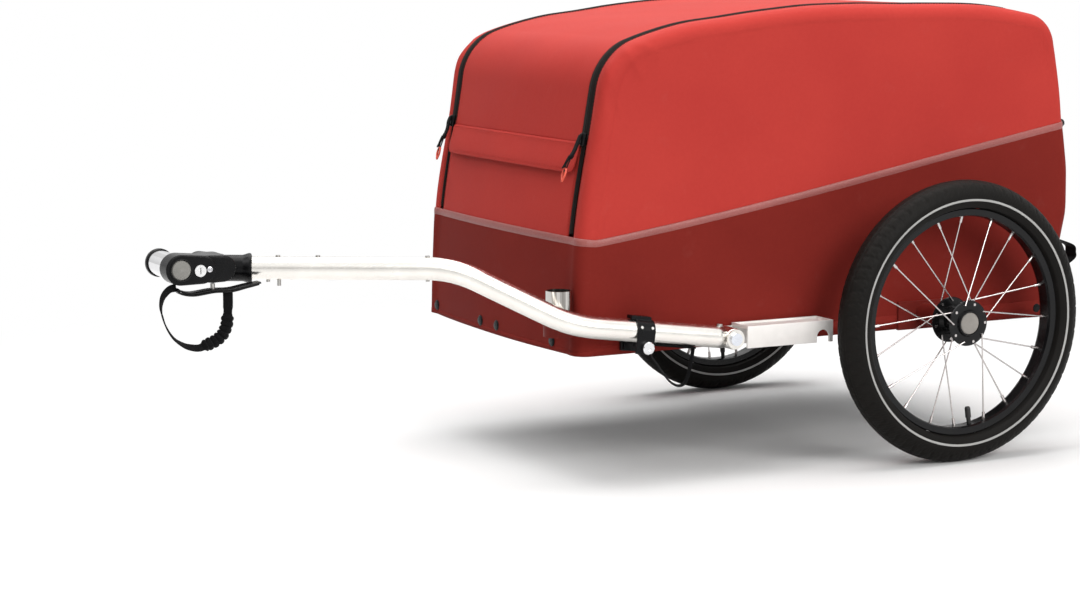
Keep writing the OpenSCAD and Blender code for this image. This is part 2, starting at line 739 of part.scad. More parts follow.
// Fabric
module left_side_panel() {
    color([0.72, 0.2, 0.18])
    side_panel(LEFT);
}
module right_side_panel() {
    color([0.72, 0.2, 0.18])
    side_panel(RIGHT);
}
module lower_panels() {
    half = zip_out;
    color([0.42, 0.1, 0.1]) {
        lower_side_panel(LEFT);
        lower_side_panel(RIGHT);
        cloth(rows_between(0, band_front - cloth_gap / 40), front_stations(half), -fabric_t, 0);
        cloth(rows_between(band_rear + cloth_gap / 40, last_row), [-half, 0, half], -fabric_t, 0);
    }
}
module front_panel() {
    half = zip_in - cloth_gap;
    color([0.66, 0.18, 0.16])
    cloth(rows_between(band_front, front_at(front_panel_top)), front_stations(half),
        -fabric_t, 0);
}
module rear_panel() {
    color([0.66, 0.18, 0.16])
    cloth(rows_between(cover_rear + 0.02, band_rear), [-zip_out, 0, zip_out], -fabric_t, 0);
}
module cover_panel() {
    half = zip_in - cloth_gap;
    color([0.75, 0.24, 0.22])
    cloth(rows_between(front_at(cover_front_z), cover_rear), front_stations(half), -fabric_t, 0);
}
module front_flap() {
    half = zip_in - 1.5;
    color([0.68, 0.19, 0.17])
    cloth(rows_between(front_at(flap_top - flap_drop), front_at(flap_top)), front_stations(half),
        seat_gap, 2.2);
}
module zip_tapes() {
    color([0.06, 0.06, 0.06])
    for (side = [LEFT, RIGHT])
        cloth(rows_between(front_at(band_z + cloth_gap), cover_rear),
            side == RIGHT ? [zip_in, zip_y, zip_out] : [-zip_out, -zip_y, -zip_in],
            -fabric_t / 2, 0.8);
}

// Reflective band: one closed ribbon that follows the seam round the body
function ribbon_column(q_top, q_low, s) = [skin_point(q_top, s), skin_point(q_low, s),
    skin_normal(q_top, s)];
band_rows_front = [row_at(front_at(band_z)), row_at(front_at(band_z - band_h))];
band_rows_rear = [row_at(rear_at(band_rear_z)), row_at(rear_at(band_rear_z - band_h))];
band_strip = strip_stations(zip_out + cloth_gap);
band_stations = concat([for (i = [4:-1:0]) -band_strip[i]],
    [for (i = [-5:5]) flat_y * i / 6], band_strip);
function side_columns(side) =
    let (a = skin_point(band_rows_front[0], flat_y + strip_arc),
        b = skin_point(band_rows_rear[0], flat_y + strip_arc),
        n = 10)
    [for (i = [1:n - 1])
        let (w = i / n,
            x = a[0] + (b[0] - a[0]) * w,
            lift = (a[2] - band_height(a[0])) * (1 - w) + (b[2] - band_height(b[0])) * w,
            z = band_height(x) + lift)
        [[x, side * wall_y, z], [x, side * wall_y, z - band_h], [0, side, 0]]];
module reflective_band() {
    right = side_columns(RIGHT);
    left = side_columns(LEFT);
    columns = concat(
        [for (s = band_stations) ribbon_column(band_rows_front[0], band_rows_front[1], s)],
        right,
        [for (i = [len(band_stations) - 1:-1:0])
            ribbon_column(band_rows_rear[0], band_rows_rear[1], band_stations[i])],
        [for (i = [len(left) - 1:-1:0]) left[i]]);
    n = len(columns);
    faces = [for (i = [0:n - 1])
        let (a = 2 * i, b = a + 1, c = 2 * ((i + 1) % n), d = c + 1)
        each [[a, c, d], [a, d, b]]];
    color([0.62, 0.36, 0.34])
    shell(
        [for (c = columns) each [c[0] + c[2] * 0.9, c[1] + c[2] * 0.9]],
        [for (c = columns) each [c[0] + c[2] * 0.1, c[1] + c[2] * 0.1]],
        faces);
}

// Domed screw on the fabric at a place of the outline
screw_d = 15;
module screw_on(p, normal) {
    along(p, p + normal)
        rotate_extrude()
            polygon([[0, 0], [screw_d / 2, 0], [screw_d / 2, screw_d / 15],
                [screw_d * 0.37, screw_d / 6], [0, screw_d / 5]]);
}
screw_z = body_bottom + 13;
screw_places = [[208, 0.75], [38, 0.1], [-15, 0.1], [-171, 0.45]];
side_screw_x = body_behind - 58;
module panel_screws() {
    q = row_at(front_at(screw_z));
    color([0.05, 0.05, 0.05]) {
        for (s = screw_places)
            screw_on(skin_point(q, s[0], s[1]), skin_normal(q, s[0]));
        screw_on([side_screw_x, -wall_y - 0.1, screw_z + 4], [0, LEFT, 0]);
    }
}

// Webbing loop on the rear lower panel, standing square to the fabric
handle_y = wall_y - 33;
handle_z = 265;
handle_h = 60;
handle_r = 22;
web_t = 2.4;
web_w = 25;
module rear_handle() {
    q = row_at(rear_at(handle_z));
    lean = atan2(q[3], q[2]);
    reach = (body_behind + handle_reach - q[0] + (handle_h / 2 - handle_r) * sin(lean)
        - handle_r) / cos(lean) + handle_r;
    color([0.05, 0.05, 0.05])
    translate([q[0], -handle_y - web_w / 2, q[1]])
        rotate([0, -lean, 0])
            rotate([-90, 0, 0])
                linear_extrude(web_w)
                    difference() {
                        handle_outline(reach, handle_h, handle_r);
                        translate([-1, 0])
                            handle_outline(reach - web_t + 1, handle_h - 2 * web_t,
                                handle_r - web_t);
                    }
}
module handle_outline(reach, height, r) {
    for (y = [-height / 2 + r, height / 2 - r])
        translate([reach - r, y])
            circle(r);
    translate([handle_lift, -height / 2])
        square([reach - r - handle_lift, height]);
    translate([handle_lift, -height / 2 + r])
        square([reach - handle_lift, height - 2 * r]);
}
handle_lift = seat_gap;
module band_end_stop() {
    q = row_at(rear_at(band_rear_z - band_h / 2));
    p = skin_point(q, -flat_y, 1.1);
    color([0.05, 0.05, 0.05])
    along(p, p + skin_normal(q, -flat_y))
        rotate_extrude()
            polygon([[0, 0], [7, 0], [7, 3], [5, 7], [0, 8]]);
}

// Drawbar bracket: a channel beside the body, deep below its web and shallow above it; the folded
// drawbar lies in the deep part, and the far wall runs on as the pivot lug
bracket_in_y = bar_y - bracket_gap / 2;
bracket_out_y = bar_y + bracket_gap / 2;
web_z = pivot_z + bar_d / 2 - 2;
bracket_front_x = -pivot_ahead + bar_d / 2 + 1;
bracket_rear_x = -pivot_ahead + 16 + bracket_len;
bracket_low_z = pivot_z - 13;
bracket_top_z = web_z + bracket_t + 1;
pin_head_r = 8.5;
// One wall, with a slot from below that the latch pin enters when the drawbar is folded
module bracket_side(front, rear) {
    slot_r = pin_head_r + 1.5;
    difference() {
        translate([front, bracket_low_z])
            square([rear - front, bracket_top_z - bracket_low_z]);
        hull()
            for (z = [bracket_low_z + 7.5, bracket_low_z - slot_r])
                translate([-pivot_ahead + pin_ahead, z])
                    circle(slot_r);
    }
}
module drawbar_bracket() {
    spacer_t = bracket_in_y - bracket_t - wall_y - seat_gap;
    color("silver")
    difference() {
        union() {
            translate([0, -bracket_out_y, 0])
                rotate([90, 0, 0])
                    linear_extrude(bracket_t)
                        bracket_side(bracket_front_x, bracket_rear_x);
            translate([0, -bracket_in_y + bracket_t, 0])
                rotate([90, 0, 0])
                    linear_extrude(bracket_t) {
                        bracket_side(bracket_front_x, bracket_rear_x);
                        translate([-pivot_ahead, pivot_z])
                            circle(13);
                        translate([-pivot_ahead, pivot_z - 13])
                            square([20, 26]);
                    }
            translate([bracket_front_x, -bracket_out_y - bracket_t, web_z])
                cube([bracket_rear_x - bracket_front_x, bracket_gap + 2 * bracket_t, bracket_t / 2]);
            for (x = [bracket_front_x, bracket_rear_x - bracket_t])
                translate([x, -bracket_out_y - bracket_t, web_z])
                    cube([bracket_t, bracket_gap + 2 * bracket_t, bracket_top_z - web_z]);
            translate([bracket_front_x + 20, -wall_y - seat_gap - spacer_t, bracket_low_z + 3])
                cube([bracket_len - 47, spacer_t, 20]);
        }
        cross_cylinder(-pivot_ahead, pivot_z, -bracket_in_y - 1, -wall_y, pivot_bolt_r + run_gap);
        for (x = bracket_bolt_x)
            cross_cylinder(x, bracket_bolt_z, -bracket_in_y - 1, -wall_y + 1,
                bracket_bolt_d / 2 + run_gap);
    }
}
bracket_bolt_d = 6;
bracket_bolt_x = [bracket_front_x + 32, bracket_rear_x - 40];
bracket_bolt_z = bracket_low_z + 13;
// Flat-headed bolts from inside the channel, screwed through the fabric into the side rail
module bracket_bolts() {
    head_y = bracket_in_y + run_gap;
    color("gray")
    for (x = bracket_bolt_x) {
        cross_cylinder(x, bracket_bolt_z, -head_y - 0.8, -rail_y, bracket_bolt_d / 2);
        cross_cylinder(x, bracket_bolt_z, -head_y - 0.8, -head_y, bracket_bolt_d / 2 + 2.5);
    }
}
pivot_bolt_r = 5;
bush_face = bar_d / 2 + 2.4;
pivot_head_y = bar_y + bush_face + seat_gap;
module pivot_bolt() {
    nut_y = bracket_in_y - bracket_t;
    color("lightsteelblue") {
        cross_cylinder(-pivot_ahead, pivot_z, -pivot_head_y, -nut_y + 4.5, pivot_bolt_r);
        cross_cylinder(-pivot_ahead, pivot_z, -pivot_head_y - 3, -pivot_head_y, 8.5);
        translate([-pivot_ahead, -nut_y + 4.8, pivot_z])
            rotate([90, 0, 0])
                cylinder(r = 9, h = 4.5, $fn = 6);
    }
}
pin_x = -pivot_ahead - pin_ahead;
bar_rise = 32;
bar_run = body_ahead + 23 - pivot_ahead;
bar_lift_at_pin = pin_ahead * bar_rise / bar_run;
pin_z = pivot_z + bar_lift_at_pin - pin_drop;
fork_gap = 1.2;
// Downward-open fork that the latch pin's end stands in
module latch_receiver() {
    plate_y = bracket_in_y - 2;
    color([0.08, 0.08, 0.08])
    difference() {
        translate([pin_x - 18, -plate_y, pin_z - 8])
            cube([36, plate_y - wall_y - seat_gap, 36]);
        cross_cylinder(pin_x, pin_z, -plate_y - 1, -wall_y, pin_d / 2 + fork_gap);
        translate([pin_x - pin_d / 2 - fork_gap, -plate_y - 1, pin_z - 20])
            cube([pin_d + 2 * fork_gap, plate_y - wall_y + 1, 20]);
    }
}
socket_x = -body_ahead - 22;
socket_y = -wall_y + 14;
socket_z = 208;
module walker_socket() {
    color("gainsboro")
    translate([socket_x, socket_y, socket_z])
        difference() {
            cylinder(d = socket_d, h = socket_len);
            translate([0, 0, -1])
                cylinder(d = socket_bore_d, h = socket_len + 2);
        }
}
// Clamp ring round the foot of the socket, against the front lower edge of the body
module socket_bracket() {
    lip = 5;
    ring_h = 19;
    back_x = -body_ahead - 1.8;
    color([0.08, 0.08, 0.08])
    difference() {
        union() {
            translate([socket_x, socket_y, socket_z - lip])
                cylinder(r = socket_d / 2 + 3, h = ring_h);
            translate([socket_x, socket_y - 6, socket_z - lip])
                cube([back_x - socket_x, 20, ring_h]);
        }
        translate([socket_x, socket_y, socket_z - seat_gap])
            cylinder(d = socket_d + 2 * run_gap, h = ring_h);
        translate([socket_x, socket_y, socket_z - ring_h])
            cylinder(d = socket_bore_d + 1, h = 2 * ring_h);
        translate([back_x, socket_y - socket_d, socket_z - ring_h])
            cube([socket_d, 2 * socket_d, 2 * ring_h]);
    }
}

// Drawbar
bar_path = [
    [-pivot_ahead, -bar_y, pivot_z],
    [-pivot_ahead - bar_run, -bar_y, pivot_z + bar_rise],
    [-body_ahead - 169, -bar_y + 54, coupler_z - 13],
    [-body_ahead - 441, -bar_y + 153, coupler_z - 7.6]];
bar_radii = [0, bar_bend_r, bar_bend_r, 0];
module drawbar_tube() {
    eye_r = bar_d / 2 - 0.3;
    color("white")
    difference() {
        union() {
            bent_tube(bar_path, bar_radii, bar_d / 2, bar_wall, 24, 5);
            cross_cylinder(-pivot_ahead, pivot_z, -bar_y - eye_r + 1, -bar_y + eye_r - 1, eye_r);
        }
        cross_cylinder(-pivot_ahead, pivot_z, -bar_y - bar_d, -bar_y + bar_d, 8.05);
    }
}
// Flanged bush in the tube's eye; the bolt runs in it
module pivot_bush() {
    color("gainsboro")
    difference() {
        union() {
            cross_cylinder(-pivot_ahead, pivot_z, -bar_y - bush_face, -bar_y + bush_face, 8);
            cross_cylinder(-pivot_ahead, pivot_z, -bar_y - bush_face, -bar_y - bar_d / 2 - run_gap,
                13.5);
        }
        cross_cylinder(-pivot_ahead, pivot_z, -bar_y - bar_d, -bar_y + bar_d,
            pivot_bolt_r + run_gap);
    }
}
bar_tilt = atan2(bar_rise, bar_run);
module on_bar(ahead) {
    translate([-pivot_ahead - ahead * cos(bar_tilt), -bar_y, pivot_z + ahead * sin(bar_tilt)])
        rotate([0, bar_tilt, 0])
            children();
}
collar_ahead = pin_ahead / cos(bar_tilt);
collar_t = 2;
// Steel band round the tube whose two cheeks run down to carry the pin
module latch_collar() {
    inner_r = bar_d / 2 + run_gap;
    outer_r = inner_r + collar_t;
    cheek_low = pin_drop + 9;
    color([0.07, 0.07, 0.07])
    difference() {
        on_bar(collar_ahead)
            difference() {
                union() {
                    rotate([0, 90, 0])
                        cylinder(r = outer_r, h = collar_w, center = true);
                    translate([0, 0, -cheek_low / 2])
                        cube([collar_w, 2 * outer_r, cheek_low], center = true);
                    translate([-5, 0, outer_r + 1])
                        cube([collar_w + 3, 14, 5], center = true);
                }
                rotate([0, 90, 0])
                    cylinder(r = inner_r, h = collar_w + 20, center = true);
                translate([0, 0, -cheek_low / 2 - inner_r])
                    cube([collar_w + 2, 2 * inner_r, cheek_low], center = true);
                translate([0, 0, -inner_r])
                    cube([collar_w + 2, 2 * inner_r, 2 * inner_r], center = true);
            }
        cross_cylinder(pin_x, pin_z, -bar_y - 40, -bar_y + 40, pin_d / 2 + 0.08);
    }
}
module latch_pin() {
    head_y = bar_y + bar_d / 2 + collar_t + 0.5;
    tip_y = wall_y + 3;
    color("gainsboro")
    translate([pin_x, -head_y, pin_z])
        rotate([90, 0, 0])
            union() {
                rotate_extrude()
                    polygon([[0, 0], [pin_head_r, 0], [pin_head_r, 5], [pin_head_r - 1, 6], [3, 6],
                        [3, 5], [0, 5]]);
                translate([0, 0, -(head_y - tip_y)])
                    cylinder(d = pin_d, h = head_y - tip_y + 1);
            }
}
// Small screws and studs on the tube, by their distance from its front end, and the rivets of the collar
top_screws = [64, 115, 256];
under_screws = [51, 65, 256];
under_len = [3, 8, 2.2];
module drawbar_fasteners() {
    rear_dir = unit(bar_path[2] - bar_path[3]);
    color("gray") {
        for (d = top_screws)
            translate(bar_path[3] + rear_dir * d + [0, 0, bar_d / 2 - 0.4])
                cylinder(d = 6, h = 2.2);
        for (d = [0:len(under_screws) - 1])
            translate(bar_path[3] + rear_dir * under_screws[d] - [0, 0, bar_d / 2 - 0.4 + under_len[d]])
                cylinder(d = 5, h = under_len[d]);
        translate([hitch_x + 46, anchor_y, coupler_z - 27.2])
            cylinder(d = 6, h = 6.2);
        on_bar(18)
            translate([0, 0, bar_d / 2 - 0.4])
                cylinder(d = 8, h = 3);
        for (x = [-8, 8])
            on_bar(collar_ahead)
                translate([x, 0, 0])
                    rotate([68, 0, 0])
                        translate([0, 0, bar_d / 2 + collar_t - 0.2])
                            cylinder(d = 4, h = 1.4);
    }
}

// Hitch head
plate_in_y = hitch_y + 28;
coupler_far_y = hitch_y + coupler_len;
ring_t = 8;
release_back_y = hitch_y + 8;
module hitch_housing() {
    bar_dir = unit(bar_path[3] - bar_path[2]);
    sleeve_a = bar_path[3] - bar_dir * 31;
    sleeve_b = bar_path[3] + bar_dir * 20;
    sleeve_len = norm(sleeve_b - sleeve_a);
    neck_r = bar_d / 2 + 2;
    mouth_r = 38;
    color([0.06, 0.06, 0.06])
    difference() {
        union() {
            hull() {
                cross_cylinder(hitch_x, coupler_z, hitch_y, plate_in_y, nose_r);
                cross_cylinder(hitch_x + 28, coupler_z - 1, hitch_y + 1, plate_in_y, nose_r - 1.5);
            }
            hull() {
                cross_cylinder(hitch_x + 34, coupler_z - 1, hitch_y + 6, plate_in_y + 14, 17.4);
                cross_cylinder(hitch_x + 58, coupler_z - 2, hitch_y + 8, plate_in_y + 26, 17);
            }
            hull() {
                cross_cylinder(hitch_x + 44, coupler_z - 2, hitch_y + 8, plate_in_y + 36, 17.4);
                along(sleeve_b, sleeve_a)
                    cylinder(r = neck_r + 1, h = 14, $fn = 32);
            }
            along(sleeve_b, sleeve_a)
                rotate_extrude()
                    polygon([[0, 0], [neck_r, 0], [neck_r, sleeve_len - 12], [nose_r, sleeve_len - 4],
                        [nose_r, sleeve_len], [0, sleeve_len]]);
        }
        along(bar_path[3] + bar_dir * 0.3, bar_path[3] - bar_dir * 60)
            cylinder(r = bar_d / 2 + run_gap, h = 80);
        cross_cylinder(hitch_x, coupler_z, plate_in_y - run_gap, plate_in_y + 80,
            coupler_d / 2 + run_gap);
        translate(sleeve_a - bar_dir * (mouth_r - 5))
            rotate([90, 0, 0])
                cylinder(r = mouth_r, h = 4 * nose_r, center = true);
        cross_cylinder(hitch_x, coupler_z, hitch_y - 5, release_back_y + release_travel + 3,
            release_d / 2 + 0.1);
        cross_cylinder(lock_x, lock_z, hitch_y - 5, hitch_y + 19, lock_d / 2 + run_gap);
    }
}
module release_button() {
    color("gray")
    translate([hitch_x, release_back_y, coupler_z])
        rotate([90, 0, 0])
            rotate_extrude()
                polygon([[0, 0], [release_d / 2, 0], [release_d / 2, 8.2],
                    [release_d / 2 - 1.2, 9.4], [0, 9.8]]);
}
module lock_barrel() {
    color("white")
    translate([lock_x, hitch_y + 18, lock_z])
        rotate([90, 0, 0])
            difference() {
                cylinder(d = lock_d, h = 19);
                translate([-0.9, -4, 16])
                    cube([1.8, 8, 4]);
            }
}
module coupler_sleeve() {
    color("gainsboro")
    difference() {
        cross_cylinder(hitch_x, coupler_z, plate_in_y, coupler_far_y - ring_t - run_gap,
            coupler_d / 2);
        cross_cylinder(hitch_x, coupler_z, plate_in_y + 10, coupler_far_y + 5, coupler_bore_d / 2);
    }
}
module coupler_ring() {
    color([0.05, 0.05, 0.05])
    translate([hitch_x, coupler_far_y - ring_t, coupler_z])
        rotate([-90, 0, 0])
            rotate_extrude()
                polygon([[coupler_bore_d / 2 + 1, 0], [coupler_d / 2 + 1.2, 0],
                    [coupler_d / 2 + 1.8, 1.5], [coupler_d / 2 + 1.8, ring_t - 2],
                    [coupler_d / 2, ring_t], [coupler_bore_d / 2 + 4, ring_t]]);
}
// Flat leather-like tongue under the hitch that holds both ends of the safety strap
anchor_y = hitch_y + 16;
module strap_anchor() {
    front_x = hitch_x - 2;
    color([0.05, 0.05, 0.05])
    translate([0, anchor_y + 10, 0])
        rotate([90, 0, 0])
            linear_extrude(20)
                polygon([[front_x, coupler_z - 22], [front_x + 22, coupler_z - 29],
                    [front_x + 70, coupler_z - 26], [front_x + 112, coupler_z - 22.6],
                    [front_x + 112, coupler_z - 24.6], [front_x + 70, coupler_z - 31],
                    [front_x + 20, coupler_z - 34], [front_x, coupler_z - 25]]);
}
// Flat strap under the tube that the lanyard's other end is held by
module lanyard_anchor() {
    color([0.05, 0.05, 0.05])
    on_bar(85)
        translate([0, 0, -bar_d / 2 - 1.6])
            cube([62, 12, 2.6], center = true);
}

// Routes of the two straps, points chosen by hand
strap_w = 11;
strap_route = [for (p = [
    [-2.3, 0, -23.6], [-10, 0, -25], [-17, 0, -31], [-21, 0, -39], [-22, 0, -51], [-17, 0, -70],
    [-7, 0, -87], [6, 0, -97], [17, 0, -101], [27, 0, -102], [36, 0, -99], [47, 0, -95],
    [57, 0, -88], [63, 0, -77], [65, 0, -65], [66, 0, -48], [66, 0, -31.5]])
    p + [hitch_x, anchor_y, coupler_z]];
lanyard_w = 5;
lanyard_route = [for (p = [
    [3.4, -21, -10.04], [8, -21, -16.34], [13, -21, -22.34], [19, -20, -30.34],
    [26, -19, -38.34], [34, -16, -46.34], [43, -12, -52.34], [53, -8, -56.34], [63, -5, -55.34],
    [70, -2, -48.34], [74, -1, -38.34], [77, 0, -26.34], [79, 0, -17.34], [80, 0, -9.34]])
    p + [pin_x, -bar_y, pin_z]];
function placed_route(points) = [for (i = [0:len(points) - 1])
    [points[i], unit(points[min(i + 1, len(points) - 1)] - points[max(i - 1, 0)])]];
module safety_strap() {
    color([0.05, 0.05, 0.05])
    swept(placed_route(strap_route), strap_w / 2 - 1.5, 8, [0, 1, 0]);
}
module pin_lanyard() {
    color([0.05, 0.05, 0.05])
    swept(placed_route(lanyard_route), lanyard_w / 2, 8, [0, 1, 0]);
}

// Zip slider with its hanging cord pull, in a frame that leans with the front face
slider_z = flap_top + 4;
face_lean = atan2(front_rake - 5, nose_top - band_z);
module zip_slider(side) {
    q = row_at(front_at(slider_z));
    p = skin_point(q, side * zip_y, 0);
    color([0.04, 0.04, 0.04])
    translate(p)
        rotate([0, face_lean, 0]) {
            translate([-3.6, 0, 0])
                cube([4.4, 8, 13], center = true);
            translate([-6.6, 0, -3])
                cube([2.4, 4, 9], center = true);
            for (y = [-1.7, 1.7])
                translate([-6.6, y, -30])
                    cylinder(d = 2, h = 25);
            translate([-6.6, 0, -38])
                cylinder(d = 5, h = 11);
        }
}

placed() floor_panel();
placed() side_rails();
placed() crossbars();
placed() corner_joints();
placed() side_hoops();
placed() top_crossbars();
placed() axle_receivers();
placed() stub_axles();
placed() left_side_panel();
placed() right_side_panel();
placed() lower_panels();
placed() front_panel();
placed() rear_panel();
placed() reflective_band();
placed() zip_tapes();
placed() drawbar_bracket();
placed() bracket_bolts();
placed() pivot_bolt();
placed() latch_receiver();
placed() walker_socket();
placed() socket_bracket();
placed() panel_screws();
placed() rear_handle();
placed() band_end_stop();
placed() tyre(LEFT);  // left_tyre
placed() rim(LEFT);  // left_rim
placed() spokes(LEFT);  // left_spokes
placed() nipples(LEFT);  // left_nipples
placed() hub(LEFT);  // left_hub
placed() bearings(LEFT);  // left_bearings
placed() valve(LEFT);  // left_valve
placed() hub_button(LEFT);  // left_hub_button
placed() tyre(RIGHT);  // right_tyre
placed() rim(RIGHT);  // right_rim
placed() spokes(RIGHT);  // right_spokes
placed() nipples(RIGHT);  // right_nipples
placed() hub(RIGHT);  // right_hub
placed() bearings(RIGHT);  // right_bearings
placed() valve(RIGHT);  // right_valve
placed() hub_button(RIGHT);  // right_hub_button
placed() drawbar_tube();
placed() pivot_bush();
placed() latch_collar();
placed() drawbar_fasteners();
placed() hitch_housing();
placed() coupler_sleeve();
placed() coupler_ring();
placed() strap_anchor();
placed() lanyard_anchor();
placed() safety_strap();
placed() pin_lanyard();
placed() lock_barrel();
placed() release_button();
placed() latch_pin();
placed() cover_panel();
placed() front_flap();
placed() zip_slider(LEFT);  // left_zip_slider
placed() zip_slider(RIGHT);  // right_zip_slider
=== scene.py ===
"""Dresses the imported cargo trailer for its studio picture: fabric, wheels, drawbar, hitch and light.

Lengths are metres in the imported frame: +X to the rear, +Y to the trailer's right, +Z up.
"""
import logging
import math
from abc import ABC, abstractmethod
from dataclasses import dataclass, field
from enum import Enum

import bmesh
import bpy
import numpy as np
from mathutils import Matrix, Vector


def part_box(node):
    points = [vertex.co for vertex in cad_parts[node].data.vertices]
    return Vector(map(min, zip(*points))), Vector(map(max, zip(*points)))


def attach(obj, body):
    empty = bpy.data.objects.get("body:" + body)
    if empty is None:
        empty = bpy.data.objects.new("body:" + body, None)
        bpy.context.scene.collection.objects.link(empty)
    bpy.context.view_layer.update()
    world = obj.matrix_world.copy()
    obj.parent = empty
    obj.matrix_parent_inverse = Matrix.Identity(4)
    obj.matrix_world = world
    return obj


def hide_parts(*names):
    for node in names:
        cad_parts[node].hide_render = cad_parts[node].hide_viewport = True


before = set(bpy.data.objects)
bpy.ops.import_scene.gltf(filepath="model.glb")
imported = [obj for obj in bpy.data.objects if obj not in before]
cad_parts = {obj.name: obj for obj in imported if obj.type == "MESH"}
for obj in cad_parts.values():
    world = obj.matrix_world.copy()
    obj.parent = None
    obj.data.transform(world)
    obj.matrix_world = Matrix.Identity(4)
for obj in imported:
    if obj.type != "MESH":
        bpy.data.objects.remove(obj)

LOG = logging.getLogger("trailer")
MM = 0.001
AXLE_X = 0.40125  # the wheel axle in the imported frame
HALF_W = 0.238  # half the body's width
COVER_REAR = 0.150  # the cover's rear hem, from the axle
ZIP_INNER, ZIP_MIDDLE, ZIP_OUTER = 0.200, 0.206, 0.212  # from the body's middle, along the cloth
STITCH_INSET = 0.0035  # from a panel's edge to its stitches
STITCH_LIFT = 0.0003  # of a thread over the cloth
WELD = 1e-6  # vertices nearer than this are one
WAVE = 20.0  # radians per metre of a wave texture at scale 1
ACROSS = np.array([0.0, 1.0, 0.0])

Socket = bpy.types.NodeSocket
Value = float | Socket
Tint = tuple | Socket
Places = float | np.ndarray


def from_axle(points: list) -> np.ndarray:
    """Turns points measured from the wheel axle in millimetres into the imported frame.

    Args:
        points: [x, y, z] points in millimetres, x from the axle.
    Returns:
        The points in metres, as rows of an array.
    """
    return np.array(points, float) * MM + np.array([AXLE_X, 0.0, 0.0])


def unit(v: np.ndarray) -> np.ndarray:
    """Scales vectors along the last axis to length one."""
    v = np.asarray(v, float)
    return v / np.maximum(np.linalg.norm(v, axis=-1, keepdims=True), 1e-12)


def smooth_step(x: np.ndarray) -> np.ndarray:
    """Rises smoothly from 0 at x = 0 to 1 at x = 1."""
    x = np.clip(x, 0.0, 1.0)
    return x * x * (3 - 2 * x)


def distances(path: np.ndarray) -> np.ndarray:
    """Distance along a path at each of its points."""
    return np.concatenate([[0], np.cumsum(np.linalg.norm(np.diff(path, axis=0), axis=1))])


class Side(Enum):
    """The two sides of the trailer, with the sign of their Y."""

    LEFT = -1
    RIGHT = 1

    @property
    def word(self) -> str:
        """The side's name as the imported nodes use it."""
        return self.name.lower()


# ---------------------------------------------------------------- finishes


